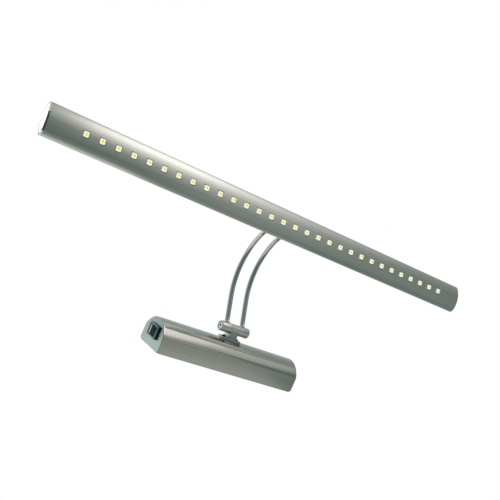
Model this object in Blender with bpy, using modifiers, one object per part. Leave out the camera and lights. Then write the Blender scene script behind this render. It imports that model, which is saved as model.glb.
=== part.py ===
"""Wall-mounted picture light: an arched base with a rocker switch, a friction hinge,
two bent arms and a long oval lamp head with a row of thirty LEDs.

Units are metres. The wall is the plane Y = 0 and the light stands out from it towards -Y.
X runs along the lamp head and Z is up. The origin is the middle of the base's wall face.
"""
import math

import bmesh
import bpy
from mathutils import Matrix, Vector

MM = 0.001
GAP = 0.3 * MM                      # clearance between neighbouring pieces
CUT_DEPTH = 12.0 * MM               # a through cutter's length in thin material

# Lamp head (oval tube)
LAMP_LENGTH = 560.0 * MM
LAMP_HALF_WIDTH = 16.2 * MM
LAMP_HALF_DEPTH = 8.4 * MM
LAMP_FRONT_DEPTH = 7.2 * MM           # the LED side is a little flatter than the back
LAMP_WALL = 0.8 * MM
LAMP_CENTRE = Vector((0.0, -169.7 * MM, -9.6 * MM))
LAMP_TILT = math.radians(14.8)      # the LEDs aim this far forward of straight down
LAMP_CAP = 1.3 * MM
LAMP_PLUG_DEPTH = 7.0 * MM
NOTCH_DEPTH = 3.0 * MM              # how far the board's ends sit inside the plugs
OVAL_SIDES = 48

# LEDs: a 60-per-metre pitch
LED_COUNT = 30
LED_PITCH = 1.0 / 60.0
LED_SIZE = 5.0 * MM
LED_HEIGHT = 2.2 * MM
LED_PROUD = 0.8 * MM
WINDOW_SIZE = 6.0 * MM
BOARD_WIDTH = 8.0 * MM
BOARD_THICKNESS = 1.2 * MM

# Base
BASE_LENGTH = 178.4 * MM
BASE_WIDTH = 46.0 * MM
BASE_SHOULDER_WIDTH = 45.4 * MM
BASE_SHOULDER_DEPTH = 17.2 * MM
BASE_DEPTH = 31.6 * MM
HOUSING_WALL = 1.2 * MM
END_PLATE = 2.0 * MM
END_LIP_DEPTH = 4.0 * MM
END_SETBACK = 1.0 * MM              # the end plates stop this short of the wall
ARCH_STEPS = 28
WALL_PLATE = 1.5 * MM
WALL_FLANGE = 9.0 * MM
KEYHOLE_X = 75.0 * MM
KEYHOLE_HEAD = 4.5 * MM            # radius that a wall screw's head passes
KEYHOLE_SLOT = 4.4 * MM            # width that its shank slides in
KEYHOLE_DROP = 4.0 * MM
KEYHOLE_TRAVEL = 12.0 * MM
CABLE_HOLE = 4.8 * MM
CABLE_BORE = 3.2 * MM
CABLE_FLANGE = 6.8 * MM
CABLE_LIP = 2.0 * MM
COVER_SCREW_X = 40.0 * MM
COVER_SCREW_Y = -5.2 * MM
COVER_SHANK = 1.2 * MM
GROMMET_X = -16.0 * MM

DRIVER_X = 44.0 * MM
DRIVER_SIZE = (44.0 * MM, 19.0 * MM, 27.0 * MM)
TERMINAL_X = -42.0 * MM
TERMINAL_SIZE = (22.0 * MM, 11.0 * MM, 14.0 * MM)

# Hinge
HINGE_Y = -43.7 * MM
BARREL_RADIUS = 5.6 * MM
BARREL_HALF = 18.4 * MM
KNUCKLE_HALF = 5.2 * MM
AXLE_RADIUS = 3.0 * MM
AXLE_BORE = 1.8 * MM
HEAD_RADIUS = 3.5 * MM
HEAD_HEIGHT = 3.0 * MM
FOOT_HALF = 12.0 * MM
FOOT_TOP_Y = -33.6 * MM
BRACKET_HALF_DEPTH = 5.5 * MM
NECK_SETBACK = 0.35 * MM            # the neck is this much narrower each side than the knuckle
NECK_FILLET = 3.4 * MM
BRACKET_SCREW_X = 8.2 * MM
BRACKET_SHANK = 1.5 * MM
BRACKET_HEAD = 2.5 * MM
FOOT_SLOPE = 0.2 * MM               # the foot thins this much towards its ends
RECESS_FLOOR = 0.4 * MM             # the screw recesses cut this far into the foot

# Arms
ARM_X = 10.3 * MM
ARM_RADIUS = 2.7 * MM
ARM_BORE = 1.8 * MM
ARM_FOOT = 3.7 * MM                 # distance from the hinge axis to the arm's foot
ARM_LEG = 35.5 * MM
ARM_RISE = math.radians(26.4)       # heading of the leg above the horizontal
ARM_SWEEP_RADIUS = 73.0 * MM
ARM_SWEEP_END = math.radians(-32.0)
ARM_TURN_RADIUS = 40.0 * MM
ARM_TURN_END = math.radians(-61.0)
ARM_TAIL = 7.0 * MM
ARM_STEP = math.radians(6.5)
COLLAR_RADIUS = 4.6 * MM
COLLAR_HEIGHT = 5.0 * MM

# Switch
SWITCH_Y = -16.8 * MM
SWITCH_Z = -1.2 * MM
BEZEL_LENGTH = 20.6 * MM
BEZEL_WIDTH = 14.2 * MM
BEZEL_HEIGHT = 2.5 * MM
SWITCH_BODY_LENGTH = 17.8 * MM
SWITCH_BODY_WIDTH = 12.4 * MM
SWITCH_BODY_DEPTH = 15.0 * MM
ROCKER_RADIUS = 7.8 * MM
ROCKER_WIDTH = 9.8 * MM
ROCKER_FACE = 3.2 * MM              # pivot to the middle of the rocker's face
ROCKER_FLOOR = 2.6 * MM             # pivot to the rocker's underside
ROCKER_DISH = math.radians(4.0)      # slope of each half of the rocker's face
ROCKER_TILT = math.radians(9.0)
WELL_DEPTH = 8.3 * MM

# Wires
WIRE_RADIUS = 0.9 * MM
WIRE_BORE = 1.6 * MM
LAMP_WIRE_RADIUS = 0.7 * MM

SHELL_END = BASE_LENGTH / 2 - END_PLATE
ARCH_RADIUS = ((BASE_SHOULDER_WIDTH / 2) ** 2 + (BASE_DEPTH - BASE_SHOULDER_DEPTH) ** 2) / (
    2 * (BASE_DEPTH - BASE_SHOULDER_DEPTH))
ARCH_CENTRE_Y = -(BASE_DEPTH - ARCH_RADIUS)
HINGE = Vector((0.0, HINGE_Y, 0.0))
LED_FRONT = -(LAMP_FRONT_DEPTH + LED_PROUD)
BOARD_FRONT = LED_FRONT + LED_HEIGHT


# ---------------------------------------------------------------- scene and helpers

for old in list(bpy.data.objects):
    bpy.data.objects.remove(old, do_unlink=True)

parts = bpy.data.collections.new("picture_light")
cutters = bpy.data.collections.new("cutters")
bpy.context.scene.collection.children.link(parts)
bpy.context.scene.collection.children.link(cutters)


def make_material(name, colour, roughness, metallic):
    """A plain Principled material."""
    made = bpy.data.materials.new(name)
    made.use_nodes = True
    shader = made.node_tree.nodes["Principled BSDF"]
    shader.inputs["Base Color"].default_value = (*colour, 1.0)
    shader.inputs["Roughness"].default_value = roughness
    shader.inputs["Metallic"].default_value = metallic
    return made


NICKEL = make_material("satin_nickel", (0.52, 0.52, 0.48), 0.32, 1.0)
STEEL = make_material("bright_steel", (0.62, 0.63, 0.62), 0.25, 1.0)
ZINC = make_material("zinc_plate", (0.55, 0.56, 0.58), 0.45, 1.0)
DARK_STEEL = make_material("blackened_steel", (0.05, 0.05, 0.055), 0.4, 1.0)
BLACK_PLASTIC = make_material("black_plastic", (0.012, 0.014, 0.018), 0.22, 0.0)
WHITE_PLASTIC = make_material("white_plastic", (0.8, 0.8, 0.78), 0.45, 0.0)
RUBBER = make_material("black_rubber", (0.02, 0.02, 0.02), 0.7, 0.0)
BOARD_DARK = make_material("board_dark", (0.05, 0.06, 0.055), 0.5, 0.0)
LED_WHITE = make_material("led_white", (0.9, 0.9, 0.86), 0.35, 0.0)
WIRE_RED = make_material("wire_red", (0.5, 0.03, 0.02), 0.5, 0.0)


def add_piece(name, mesh, material, location=(0.0, 0.0, 0.0), parent=None):
    """Put a mesh in the parts collection as one named piece."""
    piece = bpy.data.objects.new(name, mesh)
    mesh.name = name
    mesh.materials.clear()
    mesh.materials.append(material)
    parts.objects.link(piece)
    piece.parent = parent
    piece.location = location
    return piece


def add_empty(name, location, parent=None):
    """An empty that carries the pieces of one frame."""
    empty = bpy.data.objects.new(name, None)
    empty.location = location
    empty.parent = parent
    parts.objects.link(empty)
    return empty


def as_cutter(piece):
    """Turn a piece into a hidden cutter."""
    parts.objects.unlink(piece)
    cutters.objects.link(piece)
    piece.hide_render = True
    piece.display_type = "WIRE"
    return piece


def box_mesh(name, size):
    """A box centred on its own origin."""
    mesh = bpy.data.meshes.new(name)
    work = bmesh.new()
    bmesh.ops.create_cube(work, size=1.0)
    bmesh.ops.scale(work, vec=size, verts=work.verts)
    work.to_mesh(mesh)
    work.free()
    return mesh


def rod_mesh(name, radius, length, axis, sides=24):
    """A closed cylinder centred on its own origin, lying along X, Y or Z."""
    mesh = bpy.data.meshes.new(name)
    turn = {"X": Matrix.Rotation(math.pi / 2, 3, "Y"),
            "Y": Matrix.Rotation(math.pi / 2, 3, "X"),
            "Z": Matrix.Identity(3)}[axis]
    work = bmesh.new()
    bmesh.ops.create_cone(work, cap_ends=True, segments=sides, radius1=radius,
                          radius2=radius, depth=length)
    bmesh.ops.rotate(work, cent=(0, 0, 0), matrix=turn, verts=work.verts)
    work.to_mesh(mesh)
    work.free()
    mesh.shade_smooth()
    mesh.set_sharp_from_angle(angle=math.radians(35))
    return mesh


def mesh_from_curve(curve_object):
    """The welded mesh of a curve object, which is then removed."""
    bpy.context.view_layer.update()
    graph = bpy.context.evaluated_depsgraph_get()
    mesh = bpy.data.meshes.new_from_object(curve_object.evaluated_get(graph))
    work = bmesh.new()
    work.from_mesh(mesh)
    work.transform(curve_object.matrix_world)
    bmesh.ops.remove_doubles(work, verts=work.verts, dist=0.00001)
    bmesh.ops.dissolve_limit(work, angle_limit=math.radians(0.2), verts=work.verts,
                             edges=work.edges)
    bmesh.ops.recalc_face_normals(work, faces=work.faces)
    work.to_mesh(mesh)
    work.free()
    bpy.data.objects.remove(curve_object, do_unlink=True)
    mesh.set_sharp_from_angle(angle=math.radians(35))
    return mesh


def outline_mesh(name, outlines, length, plane="YZ"):
    """Flat outlines extruded by length, centred: YZ outlines run along X, XY ones along Z
    and ZX ones along Y."""
    curve = bpy.data.curves.new(name, "CURVE")
    curve.dimensions = "2D"
    curve.fill_mode = "BOTH"
    curve.extrude = length / 2
    for outline in outlines:
        spline = curve.splines.new("POLY")
        spline.points.add(len(outline) - 1)
        for point, (across, up) in zip(spline.points, outline):
            point.co = (across, up, 0.0, 1.0)
        spline.use_cyclic_u = True
    holder = bpy.data.objects.new(name, curve)
    holder.rotation_euler = {"YZ": (math.pi / 2, 0.0, math.pi / 2),
                             "XY": (0.0, 0.0, 0.0),
                             "ZX": (-math.pi / 2, -math.pi / 2, 0.0)}[plane]
    parts.objects.link(holder)
    return mesh_from_curve(holder)


def tube_mesh(name, points, radius, resolution=4):
    """A round rod along a route of points."""
    curve = bpy.data.curves.new(name, "CURVE")
    curve.dimensions = "3D"
    curve.bevel_depth = radius
    curve.bevel_resolution = resolution
    curve.use_fill_caps = True
    curve.twist_mode = "Z_UP"
    spline = curve.splines.new("POLY")
    spline.points.add(len(points) - 1)
    for point, place in zip(spline.points, points):
        point.co = (*place, 1.0)
    holder = bpy.data.objects.new(name, curve)
    parts.objects.link(holder)
    mesh = mesh_from_curve(holder)
    mesh.shade_smooth()
    mesh.set_sharp_from_angle(angle=math.radians(50))
    return mesh


def turned_mesh(name, profile, axis, steps=32):
    """A closed (radius, height) profile turned about its height axis, which becomes X, Y
    or Z."""
    mesh = bpy.data.meshes.new(name)
    count = len(profile)
    edges = [(index, (index + 1) % count) for index in range(count)]
    mesh.from_pydata([(radius, 0.0, height) for radius, height in profile], edges, [])
    holder = bpy.data.objects.new(name, mesh)
    parts.objects.link(holder)
    screw = holder.modifiers.new("turn", "SCREW")
    screw.steps = steps
    screw.render_steps = steps
    screw.use_merge_vertices = True
    screw.merge_threshold = 0.00001
    holder.rotation_euler = {"X": (0.0, math.pi / 2, 0.0),
                             "Y": (-math.pi / 2, 0.0, 0.0),
                             "Z": (0.0, 0.0, 0.0)}[axis]
    return mesh_from_curve(holder)


def cut(piece, cutter, operation="DIFFERENCE"):
    """Cut, join or trim a piece with another through a Boolean modifier."""
    if cutter.name in parts.objects:
        as_cutter(cutter)
    boolean = piece.modifiers.new("boolean", "BOOLEAN")
    boolean.operation = operation
    boolean.solver = "EXACT"
    boolean.object = cutter
    return piece


def bevel(piece, width, segments=2, angle=40.0):
    """Round a piece's sharp edges."""
    rounding = piece.modifiers.new("bevel", "BEVEL")
    rounding.width = width
    rounding.segments = segments
    rounding.limit_method = "ANGLE"
    rounding.angle_limit = math.radians(angle)
    return piece


def oval(half_width, half_depth):
    """Outline of two half ellipses, the front one flatter, anticlockwise."""
    front_depth = half_depth - (LAMP_HALF_DEPTH - LAMP_FRONT_DEPTH)
    steps = [2 * math.pi * index / OVAL_SIDES for index in range(OVAL_SIDES)]
    return [(half_width * math.cos(step),
             (half_depth if step <= math.pi else front_depth) * math.sin(step))
            for step in steps]


def base_outline(inset):
    """Half-round-fronted profile of the base in (y, z), inset all round but at the wall."""
    half_back = BASE_WIDTH / 2 - inset
    half_shoulder = BASE_SHOULDER_WIDTH / 2 - inset
    radius = ARCH_RADIUS - inset
    spread = math.asin(half_shoulder / radius)
    outline = [(0.0, half_back)]
    for index in range(ARCH_STEPS + 1):
        swing = spread * (1 - 2 * index / ARCH_STEPS)
        outline.append((ARCH_CENTRE_Y - radius * math.cos(swing), radius * math.sin(swing)))
    outline.append((0.0, -half_back))
    return outline


def hex_socket(name, flat_radius, depth, axis, place, parent=None):
    """Cutter for a hexagon socket."""
    cutter = add_piece(name, rod_mesh(name, flat_radius, depth, axis, 6), NICKEL, place, parent)
    return as_cutter(cutter)


# ---------------------------------------------------------------- base

def make_housing():
    """Long cover: an open-backed arched shell."""
    outer = base_outline(0.0)
    inner = base_outline(HOUSING_WALL)
    mesh = outline_mesh("base_housing", [outer + inner[::-1]], 2 * (SHELL_END - GAP))
    housing = add_piece("base_housing", mesh, NICKEL)
    for side in (-1, 1):
        hole = rod_mesh("bracket_hole", BRACKET_SHANK + GAP, CUT_DEPTH, "Y", 16)
        place = (side * BRACKET_SCREW_X, -BASE_DEPTH, 0.0)
        cut(housing, add_piece(f"bracket_hole_{side}", hole, NICKEL, place))
        hole = rod_mesh("cover_hole", COVER_SHANK + 2 * GAP, CUT_DEPTH, "Z", 16)
        place = (side * COVER_SCREW_X, COVER_SCREW_Y, BASE_WIDTH / 2)
        cut(housing, add_piece(f"cover_hole_{side}", hole, NICKEL, place))
    hole = rod_mesh("wire_hole", WIRE_BORE + 2 * GAP, CUT_DEPTH, "Y", 16)
    cut(housing, add_piece("housing_wire_hole", hole, NICKEL, (0.0, -BASE_DEPTH, 0.0)))
    return housing


def make_end_plate(name, side):
    """Flat end plate with a lip that plugs into the housing."""
    centre = side * (BASE_LENGTH / 2 - END_PLATE / 2)
    plate = add_piece(name, outline_mesh(name, [base_outline(0.0)], END_PLATE), NICKEL,
                      (centre, 0.0, 0.0))
    lip_inset = HOUSING_WALL + GAP
    lip_ring = base_outline(lip_inset) + base_outline(lip_inset + HOUSING_WALL)[::-1]
    depth = END_LIP_DEPTH + END_PLATE / 2
    lip = add_piece(f"{name}_lip", outline_mesh(f"{name}_lip", [lip_ring], depth), NICKEL,
                    (centre - side * depth / 2, 0.0, 0.0))
    cut(plate, lip, "UNION")
    relief = box_mesh(f"{name}_relief", (2 * END_LIP_DEPTH, 2 * (WALL_FLANGE + GAP), BASE_WIDTH))
    place = (side * (SHELL_END - GAP - END_LIP_DEPTH), 0.0, 0.0)
    cut(plate, add_piece(f"{name}_relief", relief, NICKEL, place))
    edge = box_mesh(f"{name}_edge", (4 * END_PLATE, 2 * END_SETBACK, 2 * BASE_WIDTH))
    cut(plate, add_piece(f"{name}_edge", edge, NICKEL, (centre, 0.0, 0.0)))
    return plate


def make_wall_plate():
    """U-shaped plate that hangs on two wall screws and carries the housing."""
    half = BASE_WIDTH / 2 - HOUSING_WALL - GAP
    thick = WALL_PLATE
    outline = [(0.0, half), (-WALL_FLANGE, half), (-WALL_FLANGE, half - thick),
               (-thick, half - thick), (-thick, -half + thick), (-WALL_FLANGE, -half + thick),
               (-WALL_FLANGE, -half), (0.0, -half)]
    length = 2 * (SHELL_END - 2 * GAP)
    plate = add_piece("wall_plate", outline_mesh("wall_plate", [outline], length), ZINC)
    for side in (-1, 1):
        head = rod_mesh("keyhole_head", KEYHOLE_HEAD, CUT_DEPTH, "Y", 24)
        place = (side * KEYHOLE_X, 0.0, -KEYHOLE_DROP)
        cut(plate, add_piece(f"keyhole_head_{side}", head, ZINC, place))
        slot = box_mesh("keyhole_slot", (KEYHOLE_SLOT, CUT_DEPTH, KEYHOLE_TRAVEL))
        place = (side * KEYHOLE_X, 0.0, KEYHOLE_TRAVEL / 2 - KEYHOLE_DROP)
        cut(plate, add_piece(f"keyhole_slot_{side}", slot, ZINC, place))
        hole = rod_mesh("flange_hole", COVER_SHANK + GAP, CUT_DEPTH, "Z", 16)
        place = (side * COVER_SCREW_X, COVER_SCREW_Y, half)
        cut(plate, add_piece(f"flange_hole_{side}", hole, ZINC, place))
    hole = rod_mesh("cable_hole", CABLE_HOLE, CUT_DEPTH, "Y", 24)
    cut(plate, add_piece("cable_hole", hole, ZINC, (GROMMET_X, 0.0, 0.0)))
    return plate


def make_grommet():
    """Rubber cable inlet, just behind the wall face."""
    neck = CABLE_HOLE - GAP
    inner = -WALL_PLATE - GAP
    lip = inner - CABLE_LIP
    profile = [(CABLE_BORE, -GAP), (CABLE_BORE, lip), (CABLE_FLANGE - CABLE_LIP / 2, lip),
               (CABLE_FLANGE, lip + CABLE_LIP / 2), (CABLE_FLANGE, inner), (neck, inner),
               (neck, -GAP)]
    mesh = turned_mesh("cable_grommet", profile, "Y", 24)
    return add_piece("cable_grommet", mesh, RUBBER, (GROMMET_X, 0.0, 0.0))


def make_pan_screw(name, place, axis, sign, head, material):
    """Round-headed screw: head radius and height, then shank radius and length. The head
    sits on its place and stands towards sign along axis."""
    head_radius, head_height, shank_radius, shank_length = head
    profile = [(0.0, head_height), (head_radius * 0.72, head_height),
               (head_radius, head_height * 0.55), (head_radius, 0.0), (shank_radius, 0.0),
               (shank_radius, -shank_length + 0.5 * MM), (shank_radius - 0.4 * MM, -shank_length),
               (0.0, -shank_length)]
    screw = add_piece(name, turned_mesh(name, profile, axis, 20), material, place)
    direction = {"X": Vector((1, 0, 0)), "Y": Vector((0, 1, 0)), "Z": Vector((0, 0, 1))}[axis]
    if sign < 0:
        screw.data.transform(Matrix.Rotation(math.pi, 4, "Z" if axis != "Z" else "X"))
    socket_place = Vector(place) + direction * sign * head_height
    cut(screw, hex_socket(f"{name}_socket", head_radius * 0.48, head_height * 1.2, axis,
                          socket_place))
    return screw


def make_cover_screws():
    """Screws that hold the housing to the wall plate's upper flange."""
    for name, side in (("cover_screw_left", -1), ("cover_screw_right", 1)):
        place = (side * COVER_SCREW_X, COVER_SCREW_Y, BASE_WIDTH / 2 + GAP / 2)
        make_pan_screw(name, place, "Z", 1, (2.6 * MM, 1.6 * MM, COVER_SHANK, 4.4 * MM), NICKEL)


def make_driver():
    """Potted LED driver on the wall plate, right of the hinge."""
    place = (DRIVER_X, -WALL_PLATE - GAP - DRIVER_SIZE[1] / 2, 0.0)
    driver = add_piece("led_driver", box_mesh("led_driver", DRIVER_SIZE), WHITE_PLASTIC, place)
    bevel(driver, 1.5 * MM)
    return driver


def make_terminal_block():
    """Two-way screw terminal block for the mains cable."""
    size = TERMINAL_SIZE
    centre = Vector((TERMINAL_X, -WALL_PLATE - GAP - size[1] / 2, 0.0))
    block = add_piece("terminal_block", box_mesh("terminal_block", size), WHITE_PLASTIC, centre)
    for along in (-1, 1):
        for across in (-1, 1):
            well = rod_mesh("terminal_well", 1.9 * MM, 8.0 * MM, "Y", 12)
            place = centre + Vector((along * 5.5 * MM, -size[1] / 2, across * 3.5 * MM))
            cut(block, add_piece(f"terminal_well_{along}_{across}", well, WHITE_PLASTIC, place))
    return block


# ---------------------------------------------------------------- switch

def make_switch_body(end_plate):
    """Snap-in rocker switch body with its bezel outside the left end plate."""
    face_x = -BASE_LENGTH / 2
    centre = Vector((face_x, SWITCH_Y, SWITCH_Z))
    bezel_size = (BEZEL_HEIGHT, BEZEL_WIDTH, BEZEL_LENGTH)
    body_size = (SWITCH_BODY_DEPTH + BEZEL_HEIGHT / 2, SWITCH_BODY_WIDTH, SWITCH_BODY_LENGTH)
    slot_size = (4 * END_PLATE, SWITCH_BODY_WIDTH + 2 * GAP, SWITCH_BODY_LENGTH + 2 * GAP)
    cut(end_plate, add_piece("switch_slot", box_mesh("switch_slot", slot_size), NICKEL, centre))

    bezel_x = face_x - GAP - BEZEL_HEIGHT / 2
    body = add_piece("switch_body", box_mesh("switch_body", bezel_size), BLACK_PLASTIC,
                     (bezel_x, SWITCH_Y, SWITCH_Z))
    bevel(body, 0.6 * MM)
    barrel = add_piece("switch_case", box_mesh("switch_case", body_size), BLACK_PLASTIC,
                       (bezel_x + body_size[0] / 2, SWITCH_Y, SWITCH_Z))
    cut(body, barrel, "UNION")
    for index, along in enumerate((-5.0 * MM, 5.0 * MM)):
        tab_x = bezel_x + body_size[0] + 2.5 * MM
        tab = box_mesh("switch_tab", (7.0 * MM, 0.8 * MM, 4.8 * MM))
        cut(body, add_piece(f"switch_tab_{index}", tab, BLACK_PLASTIC,
                            (tab_x, SWITCH_Y, SWITCH_Z + along)), "UNION")
    well_size = (2 * WELL_DEPTH, ROCKER_WIDTH + 2 * GAP, 2 * (ROCKER_RADIUS + GAP))
    well_x = face_x - GAP - BEZEL_HEIGHT
    cut(body, add_piece("switch_well", box_mesh("switch_well", well_size), BLACK_PLASTIC,
                        (well_x, SWITCH_Y, SWITCH_Z)))
    return body


def make_rocker():
    """Rocker: two shallow facets that meet over the pivot, lower end pressed in at rest."""
    reach = ROCKER_RADIUS
    facet = Vector((-math.sin(ROCKER_DISH), math.cos(ROCKER_DISH)))
    start = Vector((-ROCKER_FACE, 0.0))
    lean = start.dot(facet)
    length = -lean + math.sqrt(lean ** 2 + reach ** 2 - start.length_squared)
    tip = start + facet * length
    tip_angle = math.atan2(tip.y, tip.x)
    floor_angle = math.acos(ROCKER_FLOOR / reach)
    steps = 6
    flank = []
    for index in range(steps + 1):
        angle = floor_angle + (tip_angle - floor_angle) * index / steps
        flank.append((reach * math.sin(angle), reach * math.cos(angle)))
    outline = flank + [(0.0, -ROCKER_FACE)] + [(-across, up) for across, up in reversed(flank)]
    mesh = outline_mesh("switch_rocker", [outline], ROCKER_WIDTH, "ZX")
    pivot = (-BASE_LENGTH / 2 + MM, SWITCH_Y, SWITCH_Z)
    rocker = add_piece("switch_rocker", mesh, BLACK_PLASTIC, pivot)
    rocker.rotation_euler = (0.0, -ROCKER_TILT, 0.0)
    bevel(rocker, 0.4 * MM, 2, 30.0)
    return rocker


# ---------------------------------------------------------------- hinge

def make_bracket():
    """Knuckle on a flared neck and a foot that follows the housing's arch."""
    neck = KNUCKLE_HALF - NECK_SETBACK
    steps = 6
    side = [(neck, HINGE_Y), (neck, FOOT_TOP_Y - NECK_FILLET)]
    for index in range(1, steps + 1):
        turn = math.pi / 2 * index / steps
        side.append((neck + NECK_FILLET * (1 - math.cos(turn)),
                     FOOT_TOP_Y - NECK_FILLET * (1 - math.sin(turn))))
    foot_bottom = -BASE_DEPTH + 2.0 * MM
    side += [(FOOT_HALF, FOOT_TOP_Y + FOOT_SLOPE), (FOOT_HALF, foot_bottom)]
    outline = side + [(-across, up) for across, up in reversed(side)]
    mesh = outline_mesh("hinge_bracket", [outline], 2 * BRACKET_HALF_DEPTH, "XY")
    bracket = add_piece("hinge_bracket", mesh, NICKEL)

    knuckle = rod_mesh("knuckle", BARREL_RADIUS, 2 * (KNUCKLE_HALF - GAP), "X", 32)
    cut(bracket, add_piece("knuckle", knuckle, NICKEL, HINGE), "UNION")
    bore = rod_mesh("axle_bore", AXLE_RADIUS + GAP, 6 * neck, "X", 32)
    cut(bracket, add_piece("axle_bore", bore, NICKEL, HINGE))
    saddle = rod_mesh("saddle", ARCH_RADIUS + GAP, 60 * MM, "X", 128)
    cut(bracket, add_piece("saddle", saddle, NICKEL, (0.0, ARCH_CENTRE_Y, 0.0)))
    wire_bore = rod_mesh("wire_bore", WIRE_BORE, CUT_DEPTH, "Y", 16)
    place = (0.0, HINGE_Y + CUT_DEPTH / 2 + AXLE_BORE, 0.0)
    cut(bracket, add_piece("wire_bore", wire_bore, NICKEL, place))
    for sign in (-1, 1):
        hole = rod_mesh("foot_hole", BRACKET_SHANK + GAP, CUT_DEPTH, "Y", 16)
        place = (sign * BRACKET_SCREW_X, FOOT_TOP_Y, 0.0)
        cut(bracket, add_piece(f"foot_hole_{sign}", hole, NICKEL, place))
        recess = rod_mesh("foot_recess", BRACKET_HEAD + GAP, CUT_DEPTH, "Y", 24)
        place = (sign * BRACKET_SCREW_X, FOOT_TOP_Y + RECESS_FLOOR - CUT_DEPTH / 2, 0.0)
        cut(bracket, add_piece(f"foot_recess_{sign}", recess, NICKEL, place))
    return bracket


def make_bracket_screws():
    """Screws that hold the bracket's foot to the housing."""
    for name, side in (("bracket_screw_left", -1), ("bracket_screw_right", 1)):
        place = (side * BRACKET_SCREW_X, FOOT_TOP_Y + RECESS_FLOOR - GAP, 0.0)
        make_pan_screw(name, place, "Y", -1, (BRACKET_HEAD, 1.5 * MM, BRACKET_SHANK, 8.0 * MM),
                       DARK_STEEL)


def make_axle():
    """Hollow axle, open towards the neck and towards the left arm for the wire."""
    half = BARREL_HALF - HEAD_HEIGHT - 3 * GAP
    profile = [(AXLE_BORE, half), (AXLE_RADIUS, half), (AXLE_RADIUS, -half), (AXLE_BORE, -half)]
    axle = add_piece("hinge_axle", turned_mesh("hinge_axle", profile, "X", 32), STEEL, HINGE)
    entry = rod_mesh("axle_entry", 1.5 * MM, 6 * MM, "Y", 16)
    place = HINGE + Vector((0.0, 3.0 * MM, 0.0))
    cut(axle, add_piece("axle_entry", entry, STEEL, place))
    slot = box_mesh("axle_slot", (3.0 * MM, 6.0 * MM, 12.0 * MM))
    place = HINGE + Vector((-ARM_X, -3.0 * MM - 0.2 * MM, 0.0))
    cut(axle, add_piece("axle_slot", slot, STEEL, place))
    return axle


def make_hinge_screws():
    """Socket screws that clamp the sleeves against the knuckle."""
    for name, side in (("hinge_screw_left", -1), ("hinge_screw_right", 1)):
        inner = BARREL_HALF - HEAD_HEIGHT - GAP
        outer = BARREL_HALF - GAP
        tip = inner - 6.0 * MM
        shank = AXLE_BORE - GAP
        profile = [(0.0, outer), (HEAD_RADIUS - 0.4 * MM, outer), (HEAD_RADIUS, outer - 0.4 * MM),
                   (HEAD_RADIUS, inner), (shank, inner), (shank, tip), (0.0, tip)]
        screw = add_piece(name, turned_mesh(name, profile, "X", 32), STEEL, HINGE)
        if side < 0:
            screw.data.transform(Matrix.Rotation(math.pi, 4, "Z"))
        place = HINGE + Vector((side * outer, 0.0, 0.0))
        cut(screw, hex_socket(f"{name}_socket", 1.6 * MM, 4.0 * MM, "X", place))


def make_sleeve(name, side, pivot):
    """Barrel sleeve that carries one arm."""
    inner = KNUCKLE_HALF
    step = BARREL_HALF - HEAD_HEIGHT - 2 * GAP
    outer = BARREL_HALF
    chamfer = 0.7 * MM
    bore = AXLE_RADIUS + GAP
    mouth = HEAD_RADIUS + GAP
    profile = [(mouth, outer), (BARREL_RADIUS - chamfer, outer), (BARREL_RADIUS, outer - chamfer),
               (BARREL_RADIUS, inner), (bore, inner), (bore, step), (mouth, step)]
    sleeve = add_piece(name, turned_mesh(name, profile, "X", 32), NICKEL, (0.0, 0.0, 0.0), pivot)
    if side < 0:
        sleeve.data.transform(Matrix.Rotation(math.pi, 4, "Z"))
    direction = Vector((0.0, -math.cos(ARM_RISE), math.sin(ARM_RISE)))
    drill_mesh = rod_mesh(f"{name}_drill", ARM_RADIUS + 0.15 * MM, 12 * MM, "Z", 24)
    drill_mesh.transform(direction.to_track_quat("Z", "Y").to_matrix().to_4x4())
    place = Vector((side * ARM_X, 0.0, 0.0)) + direction * 8 * MM
    cut(sleeve, add_piece(f"{name}_drill", drill_mesh, NICKEL, place, pivot))
    return sleeve


# ---------------------------------------------------------------- arms

def heading(angle):
    """Unit direction in the YZ plane, angle above straight out from the wall."""
    return Vector((0.0, -math.cos(angle), math.sin(angle)))


def sweep(centre, radius, start, end):
    """Points on an arc whose heading goes from start to end, without its first point."""
    count = math.ceil(abs(end - start) / ARM_STEP)
    angles = (start + (end - start) * index / count for index in range(1, count + 1))
    return [centre + radius * Vector((0.0, math.sin(turn), math.cos(turn))) for turn in angles]


def arm_route(start, tail):
    """Arm centre line in the hinge's frame: leg, long sweep, tighter turn and straight tail."""
    leg_end = heading(ARM_RISE) * ARM_LEG
    points = [heading(ARM_RISE) * start, heading(ARM_RISE) * ARM_LEG * 0.5, leg_end]
    normal = Vector((0.0, math.sin(ARM_RISE), math.cos(ARM_RISE)))
    points += sweep(leg_end - normal * ARM_SWEEP_RADIUS, ARM_SWEEP_RADIUS, ARM_RISE,
                    ARM_SWEEP_END)
    normal = Vector((0.0, math.sin(ARM_SWEEP_END), math.cos(ARM_SWEEP_END)))
    points += sweep(points[-1] - normal * ARM_TURN_RADIUS, ARM_TURN_RADIUS, ARM_SWEEP_END,
                    ARM_TURN_END)
    turn_end = points[-1]
    points.append(turn_end + heading(ARM_TURN_END) * tail)
    return points, turn_end


def make_arm(name, side, pivot):
    """Bent round tube."""
    place = (side * ARM_X, 0.0, 0.0)
    points, _ = arm_route(ARM_FOOT, ARM_TAIL)
    arm = add_piece(name, tube_mesh(name, points, ARM_RADIUS), NICKEL, place, pivot)
    points, _ = arm_route(ARM_FOOT - 3 * MM, ARM_TAIL + 3 * MM)
    core = add_piece(f"{name}_core", tube_mesh(f"{name}_core", points, ARM_BORE, 2), NICKEL,
                     place, pivot)
    cut(arm, core)
    return arm


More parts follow.
